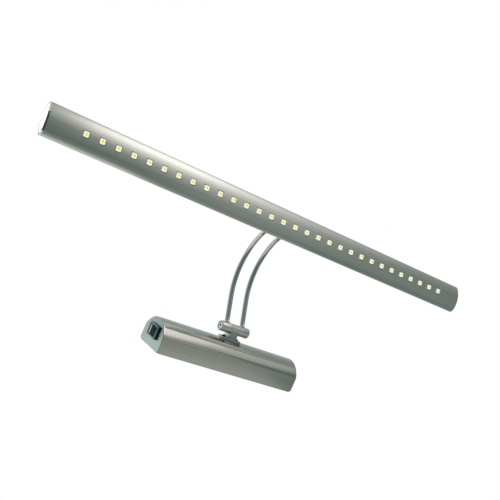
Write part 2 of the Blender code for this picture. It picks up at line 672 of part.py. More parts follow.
def make_collar(name, side, pivot, lamp_frame):
    """Collar round an arm, seated on the back of the lamp head."""
    _, turn_end = arm_route(ARM_FOOT, ARM_TAIL)
    along = heading(ARM_TURN_END)
    bore = ARM_RADIUS + GAP
    half = COLLAR_HEIGHT / 2
    edge = 0.8 * MM
    profile = [(bore, half), (COLLAR_RADIUS - edge, half), (COLLAR_RADIUS, half - edge),
               (COLLAR_RADIUS, -half), (bore, -half)]
    mesh = turned_mesh(name, profile, "Z", 28)
    mesh.transform((-along).to_track_quat("Z", "Y").to_matrix().to_4x4())
    place = turn_end + Vector((side * ARM_X, 0.0, 0.0)) + along * 1.2 * MM
    collar = add_piece(name, mesh, NICKEL, place, pivot)
    seat = oval(LAMP_HALF_WIDTH + GAP, LAMP_HALF_DEPTH + GAP)
    seat_mesh = outline_mesh(f"{name}_seat", [seat], 20 * MM)
    cut(collar, add_piece(f"{name}_seat", seat_mesh, NICKEL, (side * ARM_X, 0.0, 0.0),
                          lamp_frame))
    return collar


# ---------------------------------------------------------------- lamp head

def make_lamp_tube(lamp_frame, pivot):
    """Oval tube with thirty square windows and two arm holes."""
    inner = oval(LAMP_HALF_WIDTH - LAMP_WALL, LAMP_HALF_DEPTH - LAMP_WALL)
    length = LAMP_LENGTH - 2 * (LAMP_CAP + GAP)
    outlines = [oval(LAMP_HALF_WIDTH, LAMP_HALF_DEPTH), inner]
    tube = add_piece("lamp_tube", outline_mesh("lamp_tube", outlines, length), NICKEL,
                     (0.0, 0.0, 0.0), lamp_frame)
    tube.data.shade_smooth()
    tube.data.set_sharp_from_angle(angle=math.radians(35))
    work = bmesh.new()
    for index in range(LED_COUNT):
        shift = Matrix.Translation((led_x(index), 0.0, -LAMP_FRONT_DEPTH))
        size = Matrix.Diagonal((WINDOW_SIZE, WINDOW_SIZE, 4 * MM, 1.0))
        bmesh.ops.create_cube(work, size=1.0, matrix=shift @ size)
    windows = bpy.data.meshes.new("windows")
    work.to_mesh(windows)
    work.free()
    cut(tube, add_piece("windows", windows, NICKEL, (0.0, 0.0, 0.0), lamp_frame))
    _, turn_end = arm_route(ARM_FOOT, ARM_TAIL)
    for side in (-1, 1):
        drill_mesh = rod_mesh("lamp_drill", ARM_RADIUS + GAP, 16 * MM, "Z", 24)
        along = heading(ARM_TURN_END)
        drill_mesh.transform(along.to_track_quat("Z", "Y").to_matrix().to_4x4())
        place = turn_end + Vector((side * ARM_X, 0.0, 0.0)) - along * 2 * MM
        cut(tube, add_piece(f"lamp_drill_{side}", drill_mesh, NICKEL, place, pivot))
    return tube


def make_lamp_cap(name, side, lamp_frame):
    """Oval end cap with a plug that also holds the end of the LED board."""
    face_x = side * (LAMP_LENGTH / 2 - LAMP_CAP / 2)
    face = outline_mesh(name, [oval(LAMP_HALF_WIDTH, LAMP_HALF_DEPTH)], LAMP_CAP)
    cap = add_piece(name, face, NICKEL, (face_x, 0.0, 0.0), lamp_frame)
    inset = LAMP_WALL + GAP
    plug_oval = oval(LAMP_HALF_WIDTH - inset, LAMP_HALF_DEPTH - inset)
    depth = LAMP_PLUG_DEPTH + LAMP_CAP / 2
    plug = outline_mesh(f"{name}_plug", [plug_oval], depth)
    cut(cap, add_piece(f"{name}_plug", plug, NICKEL, (face_x - side * depth / 2, 0.0, 0.0),
                       lamp_frame), "UNION")
    notch_size = (2 * LAMP_PLUG_DEPTH, BOARD_WIDTH + 2 * GAP, LAMP_HALF_WIDTH)
    notch_end = LAMP_LENGTH / 2 - LAMP_CAP - LAMP_PLUG_DEPTH + NOTCH_DEPTH
    notch_top = BOARD_FRONT + BOARD_THICKNESS + GAP
    place = (side * (notch_end - LAMP_PLUG_DEPTH), 0.0, notch_top - LAMP_HALF_WIDTH / 2)
    cut(cap, add_piece(f"{name}_notch", box_mesh(f"{name}_notch", notch_size), NICKEL, place,
                       lamp_frame))
    return cap


def led_x(index):
    """Place of one LED along the lamp."""
    return (index - (LED_COUNT - 1) / 2) * LED_PITCH


def make_board(lamp_frame):
    """Long narrow circuit board, its ends in the caps' notches."""
    length = LAMP_LENGTH - 2 * (LAMP_CAP + LAMP_PLUG_DEPTH - NOTCH_DEPTH + GAP)
    size = (length, BOARD_WIDTH, BOARD_THICKNESS)
    place = (0.0, 0.0, BOARD_FRONT + BOARD_THICKNESS / 2)
    return add_piece("led_board", box_mesh("led_board", size), BOARD_DARK, place, lamp_frame)


def make_leds(lamp_frame):
    """Surface-mount LED packages, a hair clear of the board."""
    seat = 0.05 * MM
    height = LED_HEIGHT - seat
    for index in range(LED_COUNT):
        name = f"led_{index + 1:02d}"
        mesh = box_mesh(name, (LED_SIZE, LED_SIZE, height))
        add_piece(name, mesh, LED_WHITE, (led_x(index), 0.0, LED_FRONT + height / 2), lamp_frame)


# ---------------------------------------------------------------- wires

def smooth_route(points, steps=4):
    """Catmull-Rom curve through a few points."""
    ends = [points[0] * 2 - points[1]] + points + [points[-1] * 2 - points[-2]]
    route = [points[0]]
    for index in range(1, len(ends) - 2):
        before, start, end, after = ends[index - 1:index + 3]
        for step in range(1, steps + 1):
            t = step / steps
            route.append(0.5 * (2 * start + (end - before) * t
                                + (2 * before - 5 * start + 4 * end - after) * t ** 2
                                + (3 * start - before - 3 * end + after) * t ** 3))
    return route


def make_wires(pivot):
    """Live wire, lamp lead and the wire inside the left arm."""
    live = [Vector((x * MM, y * MM, z * MM)) for x, y, z in
            ((-66.5, -16.8, 3.8), (-60.0, -17.0, 7.0), (-40.0, -18.0, 12.5), (-10.0, -17.0, 13.5),
             (8.0, -13.0, 9.0), (21.4, -11.0, 6.0))]
    add_piece("live_wire", tube_mesh("live_wire", smooth_route(live), WIRE_RADIUS, 2), WIRE_RED)
    lead = [Vector((x * MM, y * MM, z * MM)) for x, y, z in
            ((21.4, -11.0, -6.0), (12.0, -12.0, -6.0), (3.0, -17.0, -3.0), (0.0, -26.0, 0.0),
             (0.0, -33.0, 0.0), (0.0, -41.0, 0.0))]
    add_piece("lamp_lead", tube_mesh("lamp_lead", smooth_route(lead), WIRE_RADIUS, 2), WIRE_RED)
    points, _ = arm_route(ARM_FOOT + 0.5 * MM, ARM_TAIL + 5.4 * MM)
    mesh = tube_mesh("lamp_wire", points, LAMP_WIRE_RADIUS, 2)
    add_piece("lamp_wire", mesh, WIRE_RED, (-ARM_X, 0.0, 0.0), pivot)


# ---------------------------------------------------------------- assembly

arm_pivot = add_empty("arm_pivot", HINGE)
lamp_frame = add_empty("lamp_frame", LAMP_CENTRE - HINGE, arm_pivot)
lamp_frame.rotation_euler = (-LAMP_TILT, 0.0, 0.0)

make_housing()
left_plate = make_end_plate("end_plate_left", -1)
make_end_plate("end_plate_right", 1)
make_wall_plate()
make_grommet()
make_cover_screws()
make_driver()
make_terminal_block()
make_switch_body(left_plate)
make_rocker()
make_bracket()
make_bracket_screws()
make_axle()
make_hinge_screws()
make_lamp_tube(lamp_frame, arm_pivot)
make_board(lamp_frame)
make_leds(lamp_frame)
for side_name, side_sign in (("left", -1), ("right", 1)):
    make_sleeve(f"hinge_sleeve_{side_name}", side_sign, arm_pivot)
    make_arm(f"arm_{side_name}", side_sign, arm_pivot)
    make_collar(f"arm_collar_{side_name}", side_sign, arm_pivot, lamp_frame)
    make_lamp_cap(f"lamp_cap_{side_name}", side_sign, lamp_frame)
make_wires(arm_pivot)
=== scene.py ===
"""Looks of the picture light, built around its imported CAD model. All sizes are in metres."""
import math

import bmesh
import bpy
from mathutils import Matrix, Vector


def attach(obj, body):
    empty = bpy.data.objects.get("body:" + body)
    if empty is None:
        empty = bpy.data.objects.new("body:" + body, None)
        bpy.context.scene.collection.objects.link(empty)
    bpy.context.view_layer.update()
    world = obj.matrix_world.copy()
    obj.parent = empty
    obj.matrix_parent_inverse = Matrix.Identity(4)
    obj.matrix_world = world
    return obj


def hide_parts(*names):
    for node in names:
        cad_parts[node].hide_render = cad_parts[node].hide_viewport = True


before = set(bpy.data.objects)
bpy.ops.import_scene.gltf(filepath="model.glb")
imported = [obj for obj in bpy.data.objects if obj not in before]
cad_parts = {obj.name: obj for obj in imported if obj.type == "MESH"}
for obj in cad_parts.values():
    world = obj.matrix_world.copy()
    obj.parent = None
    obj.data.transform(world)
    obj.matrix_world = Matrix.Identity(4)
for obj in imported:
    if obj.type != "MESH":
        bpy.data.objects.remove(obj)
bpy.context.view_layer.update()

MM = 0.001
GAP = 0.3 * MM

# Sizes that the CAD source also holds; windows, LEDs and rocker are trimmed a little for looks
LAMP_LENGTH = 560.0 * MM
LAMP_HALF_WIDTH = 16.2 * MM
LAMP_HALF_DEPTH = 8.4 * MM
LAMP_FRONT_DEPTH = 7.2 * MM
LAMP_WALL = 0.8 * MM
LAMP_CENTRE = Vector((0.0, -169.7 * MM, -9.6 * MM))
LAMP_TILT = math.radians(14.8)
LAMP_CAP = 1.3 * MM
LAMP_PLUG_DEPTH = 7.0 * MM
LED_COUNT = 30
LED_PITCH = 1.0 / 60.0
LED_SIZE = 5.0 * MM
LED_HEIGHT = 2.15 * MM
LED_PROUD = 0.8 * MM
WINDOW_SIZE = 6.5 * MM
LED_SEAT = 1.9 * MM
BOARD_WIDTH = 8.0 * MM
BOARD_THICKNESS = 1.2 * MM
BASE_LENGTH = 178.4 * MM
BASE_WIDTH = 46.0 * MM
BASE_SHOULDER_WIDTH = 45.4 * MM
BASE_SHOULDER_DEPTH = 17.2 * MM
BASE_DEPTH = 31.6 * MM
HOUSING_WALL = 1.2 * MM
END_PLATE = 2.0 * MM
END_LIP_DEPTH = 4.0 * MM
END_SETBACK = 1.0 * MM
WALL_FLANGE = 9.0 * MM
COVER_SCREW_X = 40.0 * MM
COVER_SCREW_Y = -5.2 * MM
HINGE = Vector((0.0, -43.7 * MM, 0.0))
BARREL_RADIUS = 5.6 * MM
BARREL_HALF = 18.4 * MM
KNUCKLE_HALF = 5.2 * MM
AXLE_RADIUS = 3.0 * MM
AXLE_BORE = 1.8 * MM
HEAD_RADIUS = 3.5 * MM
HEAD_HEIGHT = 3.0 * MM
FOOT_HALF = 12.0 * MM
FOOT_TOP_Y = -33.6 * MM
BRACKET_HALF_DEPTH = 5.5 * MM
NECK_HALF = 4.85 * MM
NECK_FILLET = 3.4 * MM
BRACKET_SCREW_X = 8.2 * MM
BRACKET_HEAD = 2.5 * MM
RECESS_FLOOR = 0.4 * MM
ARM_X = 10.3 * MM
ARM_RADIUS = 2.7 * MM
ARM_BORE = 1.8 * MM
ARM_FOOT = 3.7 * MM
ARM_LEG = 35.5 * MM
ARM_RISE = math.radians(26.4)
ARM_SWEEP_RADIUS = 73.0 * MM
ARM_SWEEP_END = math.radians(-32.0)
ARM_TURN_RADIUS = 40.0 * MM
ARM_TURN_END = math.radians(-61.0)
ARM_TAIL = 7.0 * MM
COLLAR_RADIUS = 4.6 * MM
COLLAR_HEIGHT = 5.0 * MM
SWITCH_Y = -16.8 * MM
SWITCH_Z = -1.2 * MM
BEZEL_LENGTH = 20.6 * MM
BEZEL_WIDTH = 14.2 * MM
BEZEL_HEIGHT = 2.5 * MM
SWITCH_BODY_LENGTH = 17.8 * MM
SWITCH_BODY_WIDTH = 12.4 * MM
SWITCH_BODY_DEPTH = 15.0 * MM
ROCKER_RADIUS = 7.8 * MM
ROCKER_WIDTH = 9.8 * MM
ROCKER_FACE = 3.2 * MM
ROCKER_FLOOR = 2.6 * MM
ROCKER_DISH = math.radians(4.0)
ROCKER_TILT = math.radians(9.0)
WELL_DEPTH = 8.3 * MM
ROCKER_RIDGE = 3.9 * MM
ROCKER_SHOULDER = math.radians(17.0)

# Sizes that only the looks have
DRILL = 12.0 * MM                       # length of a tool that cuts a hole
SCREW_HOLE = 1.8 * MM
HOUSING_WIRE_HOLE = 2.2 * MM
BRACKET_WIRE_HOLE = 1.6 * MM
SHELL_EDGE = 0.1 * MM
SHELL_SHORT = 0.2 * MM
SHELL_SHOULDER = 0.5 * MM               # rounding of the crease between side and arch
PLATE_CORNER = 0.45 * MM
PLATE_RIM = {-1: 0.7 * MM, 1: 0.3 * MM}  # rounding of the left and the right plate's rim
PLATE_JOINT = 0.15 * MM
PLUG_OVERLAP = 3.0 * MM
CAP_LIP_DEPTH = 0.85 * MM
# Where the caps' rounded edge on the LED side is painted dark as shade
CAP_SHADE_START, CAP_SHADE_END = -6.0 * MM, 12.3 * MM
CAP_BACK_SHARPNESS = 0.85               # 0: rounded all round, 1: quite sharp behind
# The caps' edge behind is painted dark as shade, on the face over this share
CAP_EDGE_SHADE_WIDTH = 0.7 / 2.2           # share of the last ring's inset, on the face behind
LENS_RADIUS = 1.75 * MM
WINDOW_COLUMNS = 6

ARCH_RADIUS = ((BASE_SHOULDER_WIDTH / 2) ** 2 + (BASE_DEPTH - BASE_SHOULDER_DEPTH) ** 2) / (
    2 * (BASE_DEPTH - BASE_SHOULDER_DEPTH))
ARCH_CENTRE_Y = -(BASE_DEPTH - ARCH_RADIUS)
SHELL_END = BASE_LENGTH / 2 - END_PLATE
LED_FRONT = -(LAMP_FRONT_DEPTH + LED_PROUD)
LAMP_FRAME = Matrix.Translation(LAMP_CENTRE) @ Matrix.Rotation(-LAMP_TILT, 4, "X")
HINGE_FRAME = Matrix.Translation(HINGE)


# ---------------------------------------------------------------- camera

CAMERA_PLACE = Vector((-0.4791, -0.1679, -0.7088))
CAMERA_RIGHT = Vector((0.7783, -0.4045, -0.4803))
CAMERA_FORWARD = Vector((0.5414, 0.0447, 0.8396))
CAMERA_SENSOR_MM = 36.0
CAMERA_LENS_MM = 57.15


def make_camera():
    """Camera at the photograph's angle: in front, to the left and below."""
    data = bpy.data.cameras.new("camera")
    data.sensor_width = CAMERA_SENSOR_MM
    data.lens = CAMERA_LENS_MM
    data.clip_start, data.clip_end = 0.01, 50.0
    camera = bpy.data.objects.new("camera", data)
    up = CAMERA_RIGHT.cross(CAMERA_FORWARD).normalized()
    back = -CAMERA_FORWARD.normalized()
    turn = Matrix((up.cross(back), up, back)).transposed().to_4x4()
    camera.matrix_world = Matrix.Translation(CAMERA_PLACE) @ turn
    bpy.context.scene.collection.objects.link(camera)
    bpy.context.scene.camera = camera


make_camera()


# ---------------------------------------------------------------- materials

NOISE_LOW, NOISE_HIGH = 0.3, 0.7        # most of a noise texture's values lie between these
MIX_A, MIX_B, MIX_RESULT = 6, 7, 2      # a colour mix node's sockets
FINE_DETAIL = 4.0
FINE_STRETCH = 0.012                    # along the grain: long thin brush lines
BROAD_SCALE, BROAD_DETAIL, BROAD_STRETCH = 90.0, 2.0, 0.05


def shader_of(name):
    """A new material: its nodes, links and Principled shader."""
    made = bpy.data.materials.new(name)
    made.use_nodes = True
    tree = made.node_tree
    return made, tree.nodes, tree.links, tree.nodes["Principled BSDF"]


def noise(nodes, links, scale, detail, stretch=(1.0, 1.0, 1.0)):
    """Noise in the object's own space, stretched by scaling its coordinates."""
    place = nodes.new("ShaderNodeTexCoord")
    mapping = nodes.new("ShaderNodeMapping")
    mapping.inputs["Scale"].default_value = stretch
    texture = nodes.new("ShaderNodeTexNoise")
    texture.inputs["Scale"].default_value = scale
    texture.inputs["Detail"].default_value = detail
    texture.inputs["Roughness"].default_value = 0.55
    links.new(place.outputs["Object"], mapping.inputs["Vector"])
    links.new(mapping.outputs["Vector"], texture.inputs["Vector"])
    return texture.outputs["Fac"]


def ramp(nodes, links, source, stops):
    """Colour ramp with (position, colour) stops."""
    node = nodes.new("ShaderNodeValToRGB")
    elements = node.color_ramp.elements
    while len(elements) > 1:
        elements.remove(elements[-1])
    elements[0].position, elements[0].color = stops[0][0], (*stops[0][1], 1.0)
    for position, colour in stops[1:]:
        elements.new(position).color = (*colour, 1.0)
    links.new(source, node.inputs["Fac"])
    return node.outputs["Color"]


def spread(nodes, links, source, low, high):
    """Map a 0-1 value to a range."""
    node = nodes.new("ShaderNodeMapRange")
    node.inputs["From Min"].default_value = NOISE_LOW
    node.inputs["From Max"].default_value = NOISE_HIGH
    node.inputs["To Min"].default_value = low
    node.inputs["To Max"].default_value = high
    links.new(source, node.inputs["Value"])
    return node.outputs["Result"]


def bump(nodes, links, source, shader, strength, distance):
    """Bump on a shader."""
    node = nodes.new("ShaderNodeBump")
    node.inputs["Strength"].default_value = strength
    node.inputs["Distance"].default_value = distance
    links.new(source, node.inputs["Height"])
    links.new(node.outputs["Normal"], shader.inputs["Normal"])


def tinted(colour, factor):
    """A colour times a factor, kept in range."""
    return tuple(min(1.0, channel * factor) for channel in colour)


def grained(colour, contrast):
    """Colour stops that vary a colour with a noise texture."""
    return ((NOISE_LOW, tinted(colour, 1 - contrast)), (NOISE_HIGH, tinted(colour, 1 + contrast)))


def along_grain(grain, factor):
    """Texture scale that is stretched along one axis."""
    return tuple(factor if axis == grain else 1.0 for axis in "XYZ")


def brushed_metal(name, colour, roughness, grain, lines, strength, contrast=0.06,
                  anisotropy=0.0, tangent=None):
    """Brushed metal: fine lines along the grain axis, in colour, roughness and bump."""
    made, nodes, links, shader = shader_of(name)
    fine = noise(nodes, links, lines, FINE_DETAIL, along_grain(grain, FINE_STRETCH))
    broad = noise(nodes, links, BROAD_SCALE, BROAD_DETAIL, along_grain(grain, BROAD_STRETCH))
    mix = nodes.new("ShaderNodeMix")
    mix.data_type = "RGBA"
    mix.blend_type = "MULTIPLY"
    mix.inputs["Factor"].default_value = 1.0
    base = ramp(nodes, links, fine, grained(colour, contrast))
    cloud = ramp(nodes, links, broad, ((0.35, (0.955, 0.965, 0.96)), (0.65, (1.0, 1.0, 1.0))))
    links.new(base, mix.inputs[MIX_A])
    links.new(cloud, mix.inputs[MIX_B])
    links.new(mix.outputs[MIX_RESULT], shader.inputs["Base Color"])
    links.new(spread(nodes, links, fine, roughness - 0.03, roughness + 0.04),
              shader.inputs["Roughness"])
    shader.inputs["Metallic"].default_value = 1.0
    bump(nodes, links, fine, shader, strength, 0.04 * MM)
    if tangent:
        shader.inputs["Anisotropic"].default_value = anisotropy
        direction = nodes.new("ShaderNodeTangent")
        direction.direction_type = "RADIAL"
        direction.axis = tangent
        links.new(direction.outputs["Tangent"], shader.inputs["Tangent"])
    return made


def plain_material(name, colour, roughness, metallic=0.0, scale=600.0, contrast=0.08,
                   strength=0.1, coat=0.0, painted_glow=None, specular=0.5):
    """Moulded or plated surface with a fine grain in colour, roughness and bump. A painted glow,
    which brightens a surface by emission, is a colour and a strength."""
    made, nodes, links, shader = shader_of(name)
    grain = noise(nodes, links, scale, FINE_DETAIL)
    links.new(ramp(nodes, links, grain, grained(colour, contrast)), shader.inputs["Base Color"])
    links.new(spread(nodes, links, grain, roughness - 0.04, roughness + 0.05),
              shader.inputs["Roughness"])
    shader.inputs["Metallic"].default_value = metallic
    shader.inputs["Specular IOR Level"].default_value = specular
    shader.inputs["Coat Weight"].default_value = coat
    shader.inputs["Coat Roughness"].default_value = 0.08
    if painted_glow:
        shader.inputs["Emission Color"].default_value = (*painted_glow[0], 1.0)
        shader.inputs["Emission Strength"].default_value = painted_glow[1]
    bump(nodes, links, grain, shader, strength, 0.03 * MM)
    return made


TUBE_METAL = brushed_metal("nickel_tube", (0.60, 0.585, 0.55), 0.34, "X", lines=500.0,
                           strength=0.03, anisotropy=0.8, tangent="X")
HOUSING_METAL = brushed_metal("nickel_housing", (0.46, 0.445, 0.415), 0.16, "X", lines=500.0,
                              strength=0.02, anisotropy=0.25, tangent="X")
PLATE_METAL = brushed_metal("nickel_plate", (0.35, 0.41, 0.38), 0.34, "Z", lines=300.0,
                            strength=0.02, contrast=0.03)
CAP_METAL = brushed_metal("nickel_cap", (0.62, 0.63, 0.60), 0.3, "Z", lines=700.0, strength=0.05)
RIM_METAL = plain_material("nickel_rim", (0.50, 0.48, 0.44), 0.2, 1.0, contrast=0.02,
                           strength=0.02)
SMOOTH_METAL = plain_material("nickel_smooth", (0.62, 0.60, 0.57), 0.08, 1.0, contrast=0.03,
                              strength=0.02)
BRACKET_METAL = brushed_metal("nickel_bracket", (0.38, 0.405, 0.39), 0.28, "Y", lines=600.0,
                              strength=0.04)
LIP = plain_material("cap_lip", (0.93, 0.99, 1.0), 0.3, contrast=0.02, strength=0.02)
# Painted shade: dark metal along the back of the lamp caps' rounded edge
CAP_EDGE_SHADE = plain_material("cap_painted_edge_shade", (0.16, 0.13, 0.10), 0.45, 1.0, contrast=0.02,
                         strength=0.02)
STEEL = plain_material("bright_steel", (0.72, 0.76, 0.78), 0.2, 1.0)
DARK_STEEL = plain_material("black_oxide", (0.05, 0.05, 0.055), 0.38, 1.0)
ZINC = plain_material("zinc", (0.55, 0.57, 0.6), 0.42, 1.0, scale=160.0, contrast=0.12)
GLOSS_BLACK = plain_material("switch_black", (0.002, 0.018, 0.03), 0.14, scale=900.0,
                             specular=0.1)
# Painted highlight: a lighter teal copy of the switch black for the rocker's raised shoulder
ROCKER_PAINTED_HIGHLIGHT = plain_material("switch_black_painted_highlight", (0.06, 0.18, 0.20), 0.1, scale=900.0,
                                coat=1.0)
SOFT_BLACK = plain_material("switch_black_satin", (0.004, 0.014, 0.018), 0.3, scale=1500.0)
# Painted reflection: a bluish copy of the switch black for the bezel's front face
BEZEL_PAINTED_REFLECTION = plain_material("switch_black_painted_reflection", (0.02, 0.10, 0.125), 0.26, scale=1500.0,
                             coat=0.4)
# Painted shade: the dark band on the lamp caps' rounded edge, on the LED side
CAP_PAINTED_SHADE = plain_material("cap_painted_shade", (0.05, 0.09, 0.10), 0.4, 0.5)
# Painted shade: near-black for the inside of the hinge screws' sockets
PAINTED_SOCKET_SHADE = plain_material("socket_shade", (0.012, 0.016, 0.02), 0.5, 0.6)
WHITE = plain_material("white_plastic", (0.8, 0.8, 0.78), 0.45, scale=800.0, contrast=0.03)
RUBBER = plain_material("rubber", (0.022, 0.022, 0.022), 0.7, scale=1200.0, contrast=0.2)
BOARD = plain_material("solder_mask", (0.045, 0.055, 0.05), 0.4, scale=500.0, contrast=0.1)
# Painted glow: a faint emission brightens the LED bodies and their phosphor
LED_BODY = plain_material("led_body", (0.95, 0.955, 0.97), 0.3, scale=1500.0, contrast=0.02,
                          painted_glow=((0.97, 0.98, 1.0), 0.35))
PHOSPHOR = plain_material("phosphor", (0.90, 0.78, 0.01), 0.4, scale=5000.0, contrast=0.05,
                          painted_glow=((1.0, 0.82, 0.0), 0.35))
WIRE = plain_material("wire_red", (0.5, 0.03, 0.02), 0.4, scale=900.0)


# ---------------------------------------------------------------- mesh helpers

def add(name, mesh, material, body, stands_for=(), place=None):
    """One visible piece: linked, placed, ridden on its body and standing for its CAD nodes."""
    piece = bpy.data.objects.new(name, mesh)
    mesh.name = name
    if material:
        mesh.materials.clear()
        mesh.materials.append(material)
    bpy.context.scene.collection.objects.link(piece)
    if place is not None:
        mesh.transform(place)
    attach(piece, body)
    if stands_for:
        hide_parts(*stands_for)
    return piece


def painted(mesh, looks, pick):
    """Give a mesh its materials, and each polygon the one that pick() returns for it."""
    for look in looks:
        mesh.materials.append(look)
    for polygon in mesh.polygons:
        polygon.material_index = looks.index(pick(polygon))
    return mesh


def mesh_of(work, sharp=35.0):
    """Mesh from a bmesh, smooth but for its sharp edges."""
    bmesh.ops.recalc_face_normals(work, faces=work.faces)
    mesh = bpy.data.meshes.new("mesh")
    work.to_mesh(mesh)
    work.free()
    mesh.shade_smooth()
    mesh.set_sharp_from_angle(angle=math.radians(sharp))
    return mesh


def row_pairs(rows, closed):
    """Neighbouring rows, with the last and the first if closed."""
    return list(zip(rows, rows[1:])) + ([(rows[-1], rows[0])] if closed else [])


def loft(rings, closed=False, sharp=35.0):
    """Skin over rings of points: capped at both ends, or closed on itself."""
    work = bmesh.new()
    rows = [[work.verts.new(point) for point in ring] for ring in rings]
    for first, second in row_pairs(rows, closed):
        for index in range(len(first)):
            after = (index + 1) % len(first)
            work.faces.new((first[index], first[after], second[after], second[index]))
    if not closed:
        work.faces.new(rows[0])
        work.faces.new(rows[-1])
    return mesh_of(work, sharp=sharp)


AXIS_TURN = {"X": Matrix.Rotation(math.pi / 2, 4, "Y"),
             "Y": Matrix.Rotation(-math.pi / 2, 4, "X"),
             "Z": Matrix.Identity(4)}


def lathe(profile, axis, steps=64, closed=True, sharp=35.0):
    """A (radius, height) profile turned about an axis. A closed profile makes a ring; an open
    one starts and ends on the axis."""
    work = bmesh.new()
    turn = AXIS_TURN[axis]
    rows = []
    for radius, height in profile:
        if radius == 0.0:
            rows.append([work.verts.new(turn @ Vector((0.0, 0.0, height)))])
        else:
            rows.append([work.verts.new(turn @ Vector((
                radius * math.cos(2 * math.pi * step / steps),
                radius * math.sin(2 * math.pi * step / steps), height)))
                for step in range(steps)])
    for first, second in row_pairs(rows, closed):
        for index in range(steps):
            after = (index + 1) % steps
            if len(first) == 1:
                work.faces.new((first[0], second[after], second[index]))
            elif len(second) == 1:
                work.faces.new((first[index], first[after], second[0]))
            else:
                work.faces.new((first[index], first[after], second[after], second[index]))
    return mesh_of(work, sharp=sharp)


def box_mesh(size, place=(0.0, 0.0, 0.0)):
    """A box."""
    work = bmesh.new()
    matrix = Matrix.Translation(place) @ Matrix.Diagonal((*size, 1.0))
    bmesh.ops.create_cube(work, size=1.0, matrix=matrix)
    return mesh_of(work)


def rod_mesh(radius, length, axis, place=(0.0, 0.0, 0.0), sides=48):
    """A cylinder."""
    work = bmesh.new()
    matrix = Matrix.Translation(place) @ AXIS_TURN[axis]
    bmesh.ops.create_cone(work, cap_ends=True, segments=sides, radius1=radius, radius2=radius,
                          depth=length, matrix=matrix)
    return mesh_of(work)


def hole(radius, axis, place, sides=24):
    """A step for shaped() that drills a hole."""
    return "CUT", rod_mesh(radius, DRILL, axis, place, sides)


def outline_mesh(outline, length, plane):
    """A flat outline extruded by length, centred: an XY outline along Z, a ZX one along Y."""
    curve = bpy.data.curves.new("outline", "CURVE")
    curve.dimensions = "2D"
    curve.fill_mode = "BOTH"
    curve.extrude = length / 2
    spline = curve.splines.new("POLY")
    spline.points.add(len(outline) - 1)
    for point, (across, up) in zip(spline.points, outline):
        point.co = (across, up, 0.0, 1.0)
    spline.use_cyclic_u = True
    holder = bpy.data.objects.new("outline", curve)
    holder.rotation_euler = {"XY": (0.0, 0.0, 0.0),
                             "ZX": (-math.pi / 2, -math.pi / 2, 0.0)}[plane]
    bpy.context.scene.collection.objects.link(holder)
    bpy.context.view_layer.update()
    graph = bpy.context.evaluated_depsgraph_get()
    mesh = bpy.data.meshes.new_from_object(holder.evaluated_get(graph))
    work = bmesh.new()
    work.from_mesh(mesh)
    work.transform(holder.matrix_world)
    bmesh.ops.remove_doubles(work, verts=work.verts, dist=0.01 * MM)
    bmesh.ops.dissolve_limit(work, angle_limit=math.radians(0.2), verts=work.verts,
                             edges=work.edges)
    bpy.data.objects.remove(holder, do_unlink=True)
    return mesh_of(work)


def shaped(mesh, *steps, sharp=35.0):
    """Apply ("BEVEL", width, segments, angle) and ("CUT"/"JOIN", mesh) steps to a mesh."""
    holder = bpy.data.objects.new("shaping", mesh)
    bpy.context.scene.collection.objects.link(holder)
    for step in steps:
        tool = None
        if step[0] == "BEVEL":
            bevel = holder.modifiers.new("bevel", "BEVEL")
            bevel.width = step[1]
            bevel.segments = step[2]
            bevel.limit_method = "ANGLE"
            bevel.angle_limit = math.radians(step[3])
            bevel.use_clamp_overlap = False
        else:
            tool = bpy.data.objects.new("tool", step[1])
            bpy.context.scene.collection.objects.link(tool)
            boolean = holder.modifiers.new("boolean", "BOOLEAN")
            boolean.operation = "DIFFERENCE" if step[0] == "CUT" else "UNION"
            boolean.solver = "MANIFOLD"
            boolean.object = tool
        bpy.context.view_layer.update()
        graph = bpy.context.evaluated_depsgraph_get()
        made = bpy.data.meshes.new_from_object(holder.evaluated_get(graph))
        holder.modifiers.clear()
        holder.data = made
        if tool is not None:
            bpy.data.objects.remove(tool, do_unlink=True)
    mesh = holder.data
    bpy.data.objects.remove(holder, do_unlink=True)
    work = bmesh.new()
    work.from_mesh(mesh)
    bmesh.ops.remove_doubles(work, verts=work.verts, dist=0.002 * MM)
    return mesh_of(work, sharp=sharp)


def joined(*meshes):
    """Several meshes as one, with no welding."""
    work = bmesh.new()
    for mesh in meshes:
        work.from_mesh(mesh)
    made = bpy.data.meshes.new("joined")
    work.to_mesh(made)
    work.free()
    return made


def rounding(radius, height, edge, steps):
    """The rounded upper edge of a lathe profile, from the flat top to the side."""
    turns = [math.pi / 2 * (1 - step / steps) for step in range(steps + 1)]
    return [(radius - edge + edge * math.cos(turn), height - edge + edge * math.sin(turn))
            for turn in turns]


# ---------------------------------------------------------------- base

